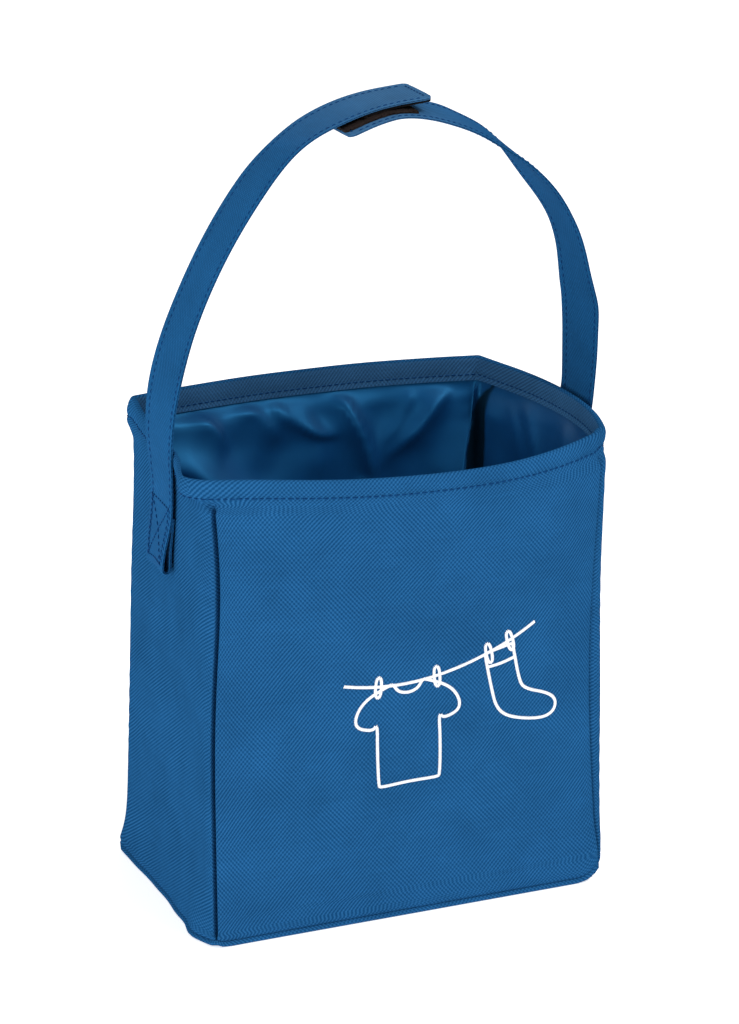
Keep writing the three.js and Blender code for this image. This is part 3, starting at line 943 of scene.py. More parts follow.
def yarn_node(tree, weave, pitch):
    """Weave group with a yarn pitch, on the cloth's own coordinates."""
    cloth = add_node(tree, "ShaderNodeUVMap", uv_map="cloth")
    yarns = add_node(tree, "ShaderNodeGroup", node_tree=weave)
    yarns.inputs["Yarn Pitch"].default_value = pitch
    link(tree, cloth.outputs[0], yarns.inputs["Cloth"])
    return yarns


def woven_material(name, weave, over, under, sheen):
    """Woven cloth: two yarn colours by the weave, painted light as a pale share by an attribute, slubs and
    cloudy shade.
    """
    material, tree, shader = start_material(name, CLOTH_ROUGHNESS, 0.0, sheen, sheen_roughness=0.4)
    yarns = yarn_node(tree, weave, YARN_PITCH)
    colour = mix_colour(tree, yarns.outputs["Over"], under, over)
    # Painted light: the cloth is mixed towards a pale colour by the attribute's share
    painted_light = add_node(tree, "ShaderNodeAttribute", attribute_name="painted_light")
    colour = mix_colour(tree, painted_light.outputs["Fac"], colour, PAINTED_LIGHT_COLOUR)
    cloud = object_noise(tree, scale=38.0, detail=4.0, roughness=0.6)
    shade = map_range(tree, cloud, 1.0 - CLOTH_MOTTLE, 1.0 + CLOTH_MOTTLE, 0.3, 0.7)
    yarn_shade = map_range(tree, yarns.outputs["Slub"], 1.0 - YARN_SLUB, 1.0 + YARN_SLUB, 0.3, 0.7)
    both = math_node(tree, "MULTIPLY", shade, yarn_shade)
    grey = add_node(tree, "ShaderNodeCombineColor")
    for part in range(3):
        link(tree, both, grey.inputs[part])
    link(tree, mix_colour(tree, 1.0, colour, grey.outputs[0], "MULTIPLY"), shader.inputs["Base Color"])
    polish = map_range(tree, yarns.outputs["Height"], CLOTH_ROUGHNESS + 0.1, CLOTH_ROUGHNESS - 0.08)
    link(tree, polish, shader.inputs["Roughness"])
    bump(tree, shader, yarns.outputs["Height"], YARN_RELIEF)
    return material


def lining_material(weave):
    """Glossy lining: a fine weave, a gloss that drifts, and painted shade for the pleat's unlit depth, mixed
    in by an attribute.
    """
    material, tree, shader = start_material("lining_gloss", roughness=0.42, specular=1.0)
    shader.inputs["Specular Tint"].default_value = srgb(*LINING_SHINE)
    yarns = yarn_node(tree, weave, LINING_PITCH)
    cloud = object_noise(tree, scale=55.0, detail=3.0)
    pocket_painted_shade = add_node(tree, "ShaderNodeAttribute", attribute_name="pocket_painted_shade")
    colour = mix_colour(tree, cloud, LINING_DARK, LINING_LIGHT)
    # Painted shade: the pleat's pocket is mixed towards near black
    link(tree, mix_colour(tree, pocket_painted_shade.outputs["Fac"], colour, LINING_PAINTED_SHADE), shader.inputs["Base Color"])
    gloss = map_range(tree, cloud, *LINING_ROUGHNESS)
    link(tree, math_node(tree, "MAXIMUM", gloss, pocket_painted_shade.outputs["Fac"]), shader.inputs["Roughness"])
    bump(tree, shader, yarns.outputs["Height"], LINING_RELIEF)
    return material


def thread_material(name, colours, roughness):
    """Twisted thread: fine slanting bands along each stitch, and a shade that drifts over the piece."""
    material, tree, shader = start_material(name, roughness, specular=0.02)
    place = add_node(tree, "ShaderNodeTexCoord")
    bands = {"Scale": 900.0, "Distortion": 1.5}
    twist = add_node(tree, "ShaderNodeTexWave", bands, bands_direction="DIAGONAL")
    link(tree, place.outputs["Object"], twist.inputs["Vector"])
    drift = object_noise(tree, scale=220.0, detail=2.0)
    link(tree, mix_colour(tree, drift, *colours), shader.inputs["Base Color"])
    link(tree, map_range(tree, drift, roughness - 0.08, roughness + 0.08), shader.inputs["Roughness"])
    bump(tree, shader, twist.outputs["Fac"], THREAD_RELIEF)
    return material


def fibre_material(name, colours, scale, roughness, specular, detail, fineness, relief):
    """Tangle of short fibres: fine noise in colour and height."""
    material, tree, shader = start_material(name, roughness, specular)
    fibre = object_noise(tree, scale, detail, fineness)
    link(tree, mix_colour(tree, fibre, *colours), shader.inputs["Base Color"])
    bump(tree, shader, fibre, relief)
    return material


weave = woven_group()
shell_cloth = woven_material("shell_oxford", weave, SHELL_OVER, SHELL_UNDER, sheen=0.0)
strap_cloth = woven_material("strap_oxford", weave, STRAP_OVER, STRAP_UNDER, sheen=0.02)
lining_cloth = lining_material(weave)
sewing_thread = thread_material("blue_thread", BLUE_THREAD, roughness=0.6)
white_thread = thread_material("white_thread", WHITE_THREAD, roughness=0.42)
pile = {"roughness": 0.9, "specular": 0.08, "detail": 5.0, "fineness": 0.7, "relief": PILE_RELIEF}
loop_pile = fibre_material("loop_pile", LOOP_FIBRE, scale=1500.0, **pile)
hook_pile = fibre_material("hook_nylon", HOOK_FIBRE, scale=900.0, **pile)
card = {"roughness": 0.8, "specular": 0.3, "detail": 4.0, "fineness": 0.5, "relief": CARD_RELIEF}
grey_card = fibre_material("grey_card", GREY_CARD, scale=400.0, **card)


def dress(obj, material, body=None):
    """Gives a piece its material, and the body that it rides on."""
    obj.data.materials.clear()
    obj.data.materials.append(material)
    if body:
        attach(obj, body)


# Sewing

def stitch_shape():
    """One stitch lying along x: a thread tube that rises from the cloth, bends over and goes back in.

    Two four-sided faces close each end of the six-sided tube.
    """
    t = np.linspace(-1, 1, STITCH_RINGS)
    turn = np.linspace(0, 2 * np.pi, STITCH_SIDES, endpoint=False)
    thin = np.sqrt(np.clip(1.02 - t ** 4, 0.02, 1))[:, None]
    x = (t * STITCH_LENGTH / 2)[:, None] + 0 * turn
    y = STITCH_RADIUS * thin * np.cos(turn)
    z = STITCH_RADIUS * (thin * np.sin(turn) + 1.1 * (1 - 1.5 * t[:, None] ** 2))
    first = np.array([[0, 3, 2, 1], [0, 5, 4, 3]])
    last = first[:, ::-1] + (STITCH_RINGS - 1) * STITCH_SIDES
    round_faces = grid_faces(STITCH_RINGS, STITCH_SIDES, round_columns=True)
    return np.stack([x, y, z], axis=-1).reshape(-1, 3), np.concatenate([round_faces, first, last])


def stitches(name, centres, along, up, length=1.0, width=1.0):
    """Many stitches in one mesh: the same tube placed at each centre, along and up from the cloth there."""
    shape, faces = stitch_shape()
    shape = shape * np.array([length, width, width])
    along = unit(along)
    across = unit(np.cross(up, along))
    up = np.cross(along, across)
    axes = np.stack([along, across, up], axis=1)
    points = centres[:, None, :] + np.einsum("vk,nkc->nvc", shape, axes)
    shift = np.arange(len(centres))[:, None, None] * len(shape)
    return put_mesh(name, points, faces[None] + shift, sharp=75)


def even_marks(points, pitch):
    """Places at an even pitch along a polyline, as numbers that count its points from zero."""
    run = run_lengths(points)
    count = max(int(run[-1] / pitch), 1)
    marks = (np.arange(count) + 0.5) * run[-1] / count
    return np.interp(marks, run, np.arange(len(points)))


def surface_stitches(surface, route, pitch=STITCH_PITCH):
    """Centres, directions and normals of a row of stitches on a surface of two parameters along a route."""
    order = np.arange(len(route))
    marks = even_marks(surface(*route.T), pitch)
    spot = read_off(marks, order, route).T
    nudge = 0.2
    low = read_off(np.maximum(marks - nudge, 0), order, route).T
    high = read_off(np.minimum(marks + nudge, len(route) - 1), order, route).T
    step = 0.3 * MM
    first = surface(spot[0] + step, spot[1]) - surface(spot[0] - step, spot[1])
    second = surface(spot[0], spot[1] + step) - surface(spot[0], spot[1] - step)
    return surface(*spot), surface(*high) - surface(*low), unit(np.cross(first, second))


def joined_rows(rows):
    """Rows of stitches put together: their centres, directions and normals."""
    return [np.concatenate(parts) for parts in zip(*rows)]


def line_route(corners):
    """Straight runs between given points, in even small steps."""
    corners = np.array(corners)
    run = run_lengths(corners)
    marks = np.linspace(0, run[-1], max(int(run[-1] / ROUTE_STEP), 2))
    return read_off(marks, run, corners)


# Shell

def make_panel(name, part, columns, weave_rate=(1, 1)):
    """Wall of outer cloth; the weave's rate across and up the cloth says which way the cloth was cut."""
    grid = panel_grid(part, columns)
    obj = sheet_piece(name, grid, SHELL_THICKNESS, surface_lengths(grid) * np.array(weave_rate))
    # Painted light: the facing inside the hem gets a pale share in its colour
    painted_light = np.zeros(grid.shape[:2])
    painted_light[-FACING_ROWS:] = FACING_PAINTED_LIGHT
    set_share(obj, "painted_light", np.stack([painted_light, painted_light]))
    dress(obj, shell_cloth, "bag")
    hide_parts(name.replace("_cloth", ""))


make_panel("front_panel_cloth", walls["front"], columns=132)
make_panel("back_panel_cloth", walls["back"], columns=124)
make_panel("left_gusset_cloth", walls["left"], columns=96, weave_rate=GUSSET_WEAVE)
make_panel("right_gusset_cloth", walls["right"], columns=96, weave_rate=GUSSET_WEAVE)


def base_border(share_count, side_count):
    """Lower edge of the four walls as one closed line that starts in the middle of the left wall."""
    half = np.linspace(0.5, 1, side_count, endpoint=False)
    parts = [
        (walls["left"], half),
        (walls["front"], np.linspace(0, 1, share_count, endpoint=False)),
        (walls["right"], np.linspace(0, 1, 2 * side_count, endpoint=False)),
        (walls["back"], np.linspace(0, 1, share_count, endpoint=False)),
        (walls["left"], half - 0.5),
    ]
    return np.concatenate([wall_point(part, share, wall_foot(part, share)) for part, share in parts])


def base_rings(border):
    """Rings of the base from its flat to its top edge.

    Each ring is the border moved inward in plan. From the flat the cloth turns up in a quarter ellipse as far
    as the border's corners are raised, bulges out as a bead under the seam and tucks up behind the walls.
    """
    way = np.roll(border, -1, axis=0) - np.roll(border, 1, axis=0)
    inward = unit(np.stack([-way[:, 1], way[:, 0]], axis=-1))
    raised = border[:, 2] - BASE_SEAM_HEIGHT
    rings = [(inset + raised, 0 * raised) for inset in (BASE_FLAT_INSET, BASE_TURN_INSET)]
    for angle in np.radians([90, 60, 30]):
        spread = (raised + BASE_TURN_RADIUS) * (1 - np.cos(angle))
        rings.append((spread - BASE_TURN_OUT, raised * (1 - np.sin(angle))))
    for inset, drop in BASE_BEAD:
        rings.append((inset * MM + 0 * raised, border[:, 2] - drop * MM))
    plans = [border[:, :2] + inward * inset[:, None] for inset, _ in rings]
    points = [np.concatenate([plan, level[:, None]], axis=-1) for plan, (_, level) in zip(plans, rings)]
    return np.stack(points)


def make_base():
    """Floor of the bag: a cloth tray whose edge rolls up as a bead under the walls, as thick as the cloth."""
    outside = base_rings(base_border(share_count=90, side_count=24))
    rings, count = outside.shape[:2]
    inside = outside - round_normals(outside) * SHELL_THICKNESS
    inside[..., 2] = np.maximum(inside[..., 2], SHELL_THICKNESS)
    grid = np.concatenate([outside, inside[::-1]])
    step = np.linalg.norm(np.diff(outside, axis=0), axis=-1)
    run = np.concatenate([np.zeros((1, count)), np.cumsum(step, axis=0)])
    flat = outside[0, :, :2]
    away = unit(outside[1, :, :2] - flat)
    cloth = flat + away * run[..., None]
    cloth = np.concatenate([cloth, cloth[::-1]]).reshape(-1, 2)
    obj = put_mesh("base_panel_cloth", grid, tube_faces(2 * rings, count), cloth)
    dress(obj, shell_cloth, "bag")
    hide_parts("base_panel")


make_base()


# Lining

def drag_fold(along, drop, start_along, start_drop, end_along, end_drop, width, height):
    """Drag fold in loose cloth: a ridge along a slightly bent line, steep on one side and easy on the other.

    It rises from nothing at its start, keeps its height, and fades out past its end.
    """
    line = np.array([end_along - start_along, end_drop - start_drop])
    length = np.linalg.norm(line)
    way = line / length
    run = ((along - start_along) * way[0] + (drop - start_drop) * way[1]) / length
    aside = (along - start_along) * way[1] - (drop - start_drop) * way[0]
    aside = aside + FOLD_BEND * length * np.sin(np.pi * np.clip(run, 0, 1))
    broad = width * (0.6 + 0.6 * np.clip(run, 0, 1.2)) * np.where(aside < 0, FOLD_STEEP, FOLD_EASY)
    taper = smooth(run, -0.1, 0.35) * (1 - smooth(run, 0.7, 1.4))
    return height * taper * np.exp(FOLD_CREST - np.sqrt((aside / broad) ** 2 + FOLD_CREST ** 2))


def crumples(part, along, height):
    """Fine unevenness of the lining: short seeded waves over coordinates that wander."""
    across, up = CRUMPLE_WANDER_LENGTHS
    wander = CRUMPLE_WANDER * np.sin(height / up + along / across)
    seed = part["seed"] + CRUMPLE_SEED
    along, height = along + wander, height + 0.6 * wander
    return seeded_waves(seed, CRUMPLE_COUNT, CRUMPLE_LENGTHS, CRUMPLE_STEEPNESS, along, height)


def corner_pleat(distance, drop):
    """Deep pleat beside a corner seam: the cloth stands off along a crest that leaves it as it drops."""
    grown = smooth(drop, *PLEAT_GROWTH)
    crest = PLEAT_SHIFT * grown
    rise = smooth(distance, crest - PLEAT_EDGE, crest)
    return PLEAT_DEPTH * grown * rise * (1 - smooth(distance, crest, crest + PLEAT_FADE))


def corner_pocket(distance, drop):
    """Other side of the pleat: the cloth lies back near the corner and stands off at the pocket's edge."""
    edge = smooth(distance, POCKET_REACH - PLEAT_EDGE, POCKET_REACH)
    stand = POCKET_STAND * edge * (1 - smooth(distance, POCKET_REACH, POCKET_REACH + POCKET_FADE))
    return smooth(drop, *POCKET_GROWTH) * (stand - POCKET_SINK * (1 - edge))


def below_facing(height):
    """How far a height lies below the lower edge of the facing."""
    return BAG_HEIGHT - HEM_FOLD_RADIUS - FACING_DEPTH - height


def soft_step(value, edge):
    """Change from 0 to 1 round an edge of the unlit pocket."""
    return smooth(value, edge - SHADE_SOFT, edge + SHADE_SOFT)


def painted_pocket_shade(name, along, height):
    """Share of painted shade for the light lost in the pleat: widening downward on the right wall, a strip on
    the back.
    """
    drop = below_facing(height)
    if name == "right":
        to_corner = wall_length(walls[name], "rim") - along
        lit = (POCKET_REACH - SHADE_INSET) * (1 - smooth(drop, *SHADE_GROWTH))
        return soft_step(to_corner, lit) * (1 - soft_step(to_corner, POCKET_REACH))
    if name == "back":
        unlit = BACK_SHADE_WIDTH * smooth(drop, *BACK_SHADE_GROWTH)
        return (1 - soft_step(along, unlit)) * smooth(drop, *BACK_SHADE_START)
    return np.zeros(np.broadcast_shapes(np.shape(along), np.shape(height)))


def lining_depth(part, name, along, height):
    """How far the lining stands inside the outer face: slack, crumples, drag folds and the corner's pleat."""
    drop = below_facing(height)
    out_of_hem = smooth(drop, *LINING_EXIT)
    free = smooth(drop, 0, LINING_FREE[0]) * smooth(height, LINING_FLOOR, LINING_FREE[1])
    belly = smooth(drop, 0, LINING_BELLY[0]) * smooth(height, LINING_FLOOR, LINING_BELLY[1])
    swing = SLACK_SWING * np.sin(along / SLACK_LENGTHS[0] + height / SLACK_LENGTHS[1] + part["seed"])
    depth = HEM_FOLD_RADIUS * (1 - out_of_hem) + LINING_CLEAR * out_of_hem
    depth = depth + LINING_SLACK * belly * (1 + swing) + crumples(part, along, height) * free
    for fold in LINING_FOLDS[name]:
        depth = depth + drag_fold(along, drop, *(value * MM for value in fold)) * smooth(drop, 0, FOLD_START)
    off_floor = smooth(height, LINING_FLOOR, PLEAT_END)
    if name == "back":
        depth = depth + corner_pleat(along, drop) * off_floor
    if name == "right":
        depth = depth + corner_pocket(wall_length(part, "rim") - along, drop) * off_floor
    return depth


def lining_grid(name):
    """Lining of one wall: columns along the wall without its last, rows from the floor up into the hem."""
    part = walls[name]
    length = wall_length(part, "rim")
    share = end_dense(int(length / LINING_STEP) + 1, crowd=0.4)[None, :-1]
    top = BAG_HEIGHT - LINING_TOP_DROP
    deep = top - LINING_FLOOR
    height = top - deep * np.linspace(1, 0, int(deep / LINING_STEP) + 1)[:, None] ** LINING_CROWD
    depth = lining_depth(part, name, share * length, height)
    return wall_point(part, share, height, depth), painted_pocket_shade(name, share * length, height)


def make_lining():
    """Wall lining: one tube of thin cloth round the inside, with its back face a thickness behind."""
    grid, shade = (np.concatenate(parts, axis=1) for parts in zip(*(lining_grid(name) for name in walls)))
    rows, columns = grid.shape[:2]
    back = grid + round_normals(grid) * LINING_THICKNESS
    count = rows * columns
    inner = grid_faces(rows, columns, round_columns=True)[:, ::-1]
    outer = inner[:, ::-1] + count
    index = np.arange(columns)
    following = np.roll(index, -1)
    low = np.stack([index, following, following + count, index + count], axis=-1)
    high = low[:, ::-1] + (rows - 1) * columns
    faces = np.concatenate([inner, outer, low, high])
    row, column = np.divmod(faces % count, columns)
    wrapped = (column == 0) & (column.max(axis=1, keepdims=True) == columns - 1)
    cloth = np.stack([np.where(wrapped, columns, column), row], axis=-1) * LINING_STEP
    obj = put_mesh("wall_lining_cloth", np.concatenate([grid, back]), faces, cloth, sharp=120)
    # Painted shade of the pleat's pocket, as a share for the lining's colour
    set_share(obj, "pocket_painted_shade", np.stack([shade, shade]))
    dress(obj, lining_cloth, "bag")
    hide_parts("front_lining", "back_lining", "left_lining", "right_lining")


def floor_plan(columns, rows):
    """Plan of the floor lining: corners a little inside the base's corners, and straight lines between."""
    ring = np.stack([place["base"] for place in (front_left, front_right, back_right, back_left)])
    ring = ring - FLOOR_INSET * np.sign(ring)
    across = np.linspace(0, 1, columns)[None, :, None]
    back = np.linspace(0, 1, rows)[:, None, None]
    near = ring[0] * (1 - across) + ring[1] * across
    far = ring[3] * (1 - across) + ring[2] * across
    return near * (1 - back) + far * back


def make_floor_lining():
    """Floor lining: a sheet over the board with low ripples, crossing sine waves, tucked under the walls."""
    plan = floor_plan(columns=90, rows=64)
    x, y = plan[..., 0], plan[..., 1]
    width, deep = plan[-1, -1] - plan[0, 0]
    first, second = ((x / across, y / back) for across, back in FLOOR_RIPPLES)
    ripple = np.sin(first[0] + 1.4 * np.sin(first[1])) * np.sin(second[1] + second[0])
    inside = smooth(width / 2 - np.abs(x), *FLOOR_EDGE) * smooth(deep / 2 - np.abs(y), *FLOOR_EDGE)
    level = LINING_FLOOR - FLOOR_DROP + FLOOR_DROP * (1 + ripple) * inside
    grid = np.concatenate([plan, level[..., None]], axis=-1)
    obj = sheet_piece("floor_lining_cloth", grid, LINING_THICKNESS, surface_lengths(grid))
    dress(obj, lining_cloth, "bag")
    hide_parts("base_lining")


make_lining()
make_floor_lining()


# Straps

def strap_route(side):
    """Middle line of a strap in x and z: its given points, rounded and spaced evenly."""
    line = rounded(np.array(STRAP_ROUTES[side]) * MM, closed=False, times=4)
    run = run_lengths(line)
    return read_off(np.linspace(0, run[-1], int(run[-1] / STRAP_STEP)), run, line)


class Strap:
    """One half of the handle: a surface of the run along it, the place across it and the height off it."""

    def __init__(self, side):
        self.side = side
        self.part = walls[side]
        self.out = -1 if side == "left" else 1
        self.route = strap_route(side)
        self.run = run_lengths(self.route)
        self.length = self.run[-1]
        slope = unit(np.gradient(self.route, axis=0))
        self.normal = np.stack([slope[:, 1], -slope[:, 0]], axis=-1) * self.out
        self.sewn_low = SEWN_END_LOW - SEWN_END_TOP
        self.turn_radius = STRAP_HALF_THICKNESS + SEWN_CLEAR

    def width_share(self, run):
        """Share of the strap's full width: rounded corners at its free end."""
        left = np.clip(self.length - run, 0, STRAP_END_ROUND)
        short = STRAP_END_ROUND - np.sqrt(STRAP_END_ROUND ** 2 - (STRAP_END_ROUND - left) ** 2)
        return 1 - short / STRAP_HALF_WIDTH

    def shift(self, run):
        """Sideways shift of the strap towards its free end."""
        start, end = (self.length - reach for reach in END_SHIFT_REACH)
        return END_SHIFTS[self.side] * smooth(run, start, end)

    def roll(self, run):
        """Slope of the strap across its width: a sum of bells along it."""
        total = np.zeros_like(run)
        for middle, spread, slope in STRAP_ROLLS[self.side]:
            place = middle * MM if middle > 0 else self.length + middle * MM
            total = total + slope * bell(run, place, spread * MM)
        return total

    def free_point(self, run, across, off):
        """Point of the free strap: the middle line, then off along its normal and across in y."""
        x, z, nx, nz = (np.interp(run, self.run, v) for v in (*self.route.T, *self.normal.T))
        y = across * self.width_share(run) + self.shift(run)
        off = off + across * self.roll(run)
        return np.stack([x + nx * off, y, z + nz * off], axis=-1)

    def sewn_point(self, run, across, off):
        """Point of the sewn end, which lies on the gusset.

        From the rim it runs down on the outside, turns under in a half circle at its low end, and runs up
        again against the gusset. The half circle widens towards its front edge, so that the plies part
        there, and the end slants back. Runs are negative here, counted from the top of the sewn end.
        """
        lowered = np.clip(np.maximum(run, self.sewn_low) / self.sewn_low, 0, 1)
        part_open = 0.5 + smooth(-across, PLY_OPEN_FROM, STRAP_HALF_WIDTH)
        radius = self.turn_radius + PLY_FLARE * part_open * smooth(lowered, 0.1, 1)
        beyond = self.sewn_low - run
        angle = np.clip(beyond / radius, 0, np.pi)
        back = np.clip(beyond - np.pi * radius, 0, None)
        closed = 0.5 * smooth(back, *PLY_CLOSE)
        radius = radius * (1 - closed) + self.turn_radius * closed
        level = SEWN_END_TOP + np.maximum(run, self.sewn_low) - (radius + off) * np.sin(angle) + back
        level = level - SEWN_TILT * across * lowered
        stand = radius * (2 + np.cos(angle)) + off * np.cos(angle)
        slant_top = SEWN_END_TOP + SEWN_SHEAR_ABOVE
        slant = SEWN_SHEAR * smooth(slant_top - level, 0, slant_top - SEWN_END_LOW)
        share = wall_share(self.part, np.minimum(level, BAG_HEIGHT), across + slant, 1)
        return wall_point(self.part, share, level, -stand)

    def point(self, run, across, off):
        """Point of the strap: on the gusset at its sewn end, free above, with a smooth change at the rim."""
        run, across, off = (np.asarray(v, dtype=float) for v in np.broadcast_arrays(run, across, off))
        free = smooth(run, *RIM_CHANGE)[..., None]
        sewn = self.sewn_point(run, across, off)
        return sewn * (1 - free) + self.free_point(np.maximum(run, 0), across, off) * free


straps = {side: Strap(side) for side in ("left", "right")}


def strap_edge(inset):
    """Half of a strap's face from its edge to near its middle: a rounded edge and the sewing's groove."""
    thick = STRAP_HALF_THICKNESS
    edge = STRAP_HALF_WIDTH
    return np.array([
        (edge - 0.9 * MM, 0.06 * MM),
        (edge - 0.25 * MM, 0.14 * thick),
        (edge, 0.45 * thick),
        (edge - 0.12 * MM, 0.8 * thick),
        (edge - 0.5 * MM, 0.98 * thick),
        (edge - 1.2 * MM, 1.0 * thick),
        (edge - inset + 0.45 * MM, 0.9 * thick),
        (edge - inset, 0.76 * thick),
        (edge - inset - 0.5 * MM, 0.92 * thick),
        (edge - inset - 1.5 * MM, 1.04 * thick),
        (0.45 * edge, 1.1 * thick),
        (0.2 * edge, STRAP_CROWN),
    ])


def strap_section():
    """Half of a strap's section from its back edge to its front edge, where two plies part in a slit."""
    middle = np.array([(0.0, STRAP_CROWN)])
    front = strap_edge(STRAP_FRONT_INSET)[::-1] * np.array([-1, 1])
    return np.concatenate([strap_edge(STRAP_BACK_INSET), middle, front])


def strap_piece(name, strap, runs):
    """Strap between two runs: the section carried along it, closed at both ends."""
    half = strap_section()
    section = np.concatenate([half, half[::-1] * np.array([1, -1])])
    sides = len(section)
    grid = strap.point(runs[:, None], section[None, :, 0], section[None, :, 1])
    cloth = np.stack(np.broadcast_arrays(section[None, :, 0], runs[:, None]), axis=-1)
    obj = put_mesh(name, grid, tube_faces(len(runs), sides), cloth.reshape(-1, 2))
    # Painted light: the strap grows paler towards its upper end and tab
    painted_light_share = np.clip((runs - PAINTED_LIGHT_FROM) / (PAINTED_LIGHT_TO - PAINTED_LIGHT_FROM), 0, 1)
    set_share(obj, "painted_light", np.repeat(STRAP_PAINTED_LIGHT * painted_light_share, sides))
    dress(obj, strap_cloth)
    return obj


def blend_low(obj):
    """Lower part of a strap: its placement baked into its points."""
    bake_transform(obj)


def blend_high(obj):
    """Upper part of a strap: its placement baked into its points."""
    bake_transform(obj)


def strap_row(strap, route, off):
    """Row of stitches on a face of a strap along a route given as run and across."""
    centres, along, up = surface_stitches(lambda run, across: strap.point(run, across, off), route)
    return centres, along, -up * np.sign(off) * strap.out


def edge_rows(strap, low, high):
    """Stitches along both edges and both faces of a strap between two runs."""
    run = np.arange(low, high, ROUTE_STEP)
    rows = []
    for across in (STRAP_FRONT_INSET - STRAP_HALF_WIDTH, STRAP_HALF_WIDTH - STRAP_BACK_INSET):
        route = np.stack([run, np.full_like(run, across)], axis=-1)
        rows += [strap_row(strap, route, off) for off in (-EDGE_STITCH_LEVEL, EDGE_STITCH_LEVEL)]
    return rows


def make_strap(side):
    """The two pieces of a strap: its sewn end with the ply turned under, and its free end."""
    strap = straps[side]
    turned = strap.sewn_low - np.pi * strap.turn_radius
    under = np.arange(turned - UNDER_PLY_LENGTH, turned, STRAP_STEP)
    bend = np.linspace(turned, strap.sewn_low, TURN_RINGS)[:-1]
    outside = np.linspace(strap.sewn_low, STRAP_JOIN, SEWN_RINGS)
    low = strap_piece(f"{side}_strap_sewn_end", strap, np.concatenate([under, bend, outside]))
    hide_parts(f"{side}_strap_anchor")
    tip = strap.length - STRAP_END_ROUND * (1 - np.cos(np.linspace(0, np.pi / 2, TIP_RINGS)))[::-1]
    free_length = strap.length - STRAP_JOIN
    free = np.linspace(STRAP_JOIN, strap.length - STRAP_END_ROUND, int(free_length / STRAP_STEP))
    high = strap_piece(f"{side}_strap_free_end", strap, np.concatenate([free[:-1], tip]))
    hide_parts(f"{side}_strap_neck", f"{side}_strap_arm")
    blend_low(low)
    blend_high(high)


def sew_strap(side):
    """Sewing of one strap: both edges on both faces, the crossed box of its sewn end, and the tip's row."""
    strap = straps[side]
    rows = edge_rows(strap, strap.sewn_low + EDGE_ROW_ENDS[0], STRAP_JOIN - ROUTE_STEP)
    wide = STRAP_HALF_WIDTH - BOX_SIDE_INSET
    low, high = strap.sewn_low + BOX_END_INSET, -BOX_TOP_DROP
    box = [(low, -wide), (low, wide), (high, wide), (high, -wide), (low, -wide), (high, wide)]
    for corners in (box, [(low, wide), (high, -wide)]):
        rows.append(strap_row(strap, line_route(corners), BOX_STITCH_LEVEL))
    sewn = stitches(f"{side}_sewn_end_stitches", *joined_rows(rows))
    dress(sewn, sewing_thread)
    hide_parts(f"{side}_box_stitch")
    blend_low(sewn)
    rows = edge_rows(strap, STRAP_JOIN + ROUTE_STEP, strap.length - EDGE_ROW_ENDS[1])
    tip = strap.length - TIP_INSET
    front = STRAP_FRONT_INSET + TIP_SIDE_INSET - STRAP_HALF_WIDTH
    back = STRAP_HALF_WIDTH - STRAP_BACK_INSET - TIP_SIDE_INSET
    for off in (-STRAP_HALF_THICKNESS, STRAP_HALF_THICKNESS):
        rows.append(strap_row(strap, line_route([(tip, front), (tip, back)]), off))
    free = stitches(f"{side}_free_end_stitches", *joined_rows(rows))
    dress(free, sewing_thread)
    blend_high(free)


def tape_piece(name, strap, length, low, high, pile, seed, shift=0.0):
    """Grip tape by a strap's end: a rounded slab between two heights off it, with a seeded uneven pile."""
    edge = TAPE_HALF_WIDTH
    soft = 0.35 * (high - low)
    top = np.linspace(edge - soft, soft - edge, TAPE_COLUMNS)
    across = np.concatenate([[edge, edge], top, [-edge, -edge]])
    height = np.concatenate([[low + soft, high - soft], np.full_like(top, high), [high - soft, low + soft]])
    upper = np.stack([across, height], axis=-1)
    lower = np.stack([across[::-1], np.full_like(across, low)], axis=-1)
    section = np.concatenate([upper, lower])
    end = strap.length - TAPE_END_INSET
    runs = np.linspace(end - length, end, TAPE_ROWS)
    rough = np.random.default_rng(seed).uniform(-pile, pile, (len(runs), len(section)))
    rough[:, len(upper):] = 0
    grid = strap.point(runs[:, None], section[None, :, 0] + shift + 2 * rough, section[None, :, 1] + rough)
    return put_mesh(name, grid, tube_faces(len(runs), len(section)))


def make_tapes():
    """Loop tape on top of the right strap's end, hook tape under the left strap's end."""
    face = STRAP_CROWN + TAPE_GAP
    right, high = straps["right"], face + LOOP_THICKNESS
    loop = tape_piece("loop_tape_pile", right, LOOP_LENGTH, face, high, LOOP_PILE, seed=21)
    dress(loop, loop_pile, "right_arm")
    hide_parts("loop_tape")
    left, low = straps["left"], -face - HOOK_THICKNESS
    hook = tape_piece("hook_tape_stubs", left, HOOK_LENGTH, -face, low, HOOK_PILE, seed=22, shift=HOOK_SHIFT)
    dress(hook, hook_pile, "left_arm")
    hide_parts("hook_tape")


for strap_side in straps:
    make_strap(strap_side)
for strap_side in straps:
    sew_strap(strap_side)
make_tapes()


# Sewing of the hem

def wall_row(part, height, depth):
    """Row of stitches along a wall at a height, on its outer face or on a layer inside it."""
    length = wall_length(part, "rim")
    route = line_route([(0, height), (length, height)])
    return surface_stitches(lambda along, level: wall_point(part, along / length, level, depth), route)


def sew_hem():
    """Two rows round the mouth: one outside, and the same thread showing inside on the facing."""
    height = BAG_HEIGHT - HEM_STITCH_DROP
    outside = [wall_row(part, height, 0.0) for part in walls.values()]
    inside = [wall_row(part, height, 2 * HEM_FOLD_RADIUS) for part in walls.values()]
    inside = [(centres, along, -up) for centres, along, up in inside]
    obj = stitches("hem_stitches", *joined_rows(outside + inside))
    dress(obj, sewing_thread, "bag")
    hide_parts("hem_topstitch")


sew_hem()


# Embroidery

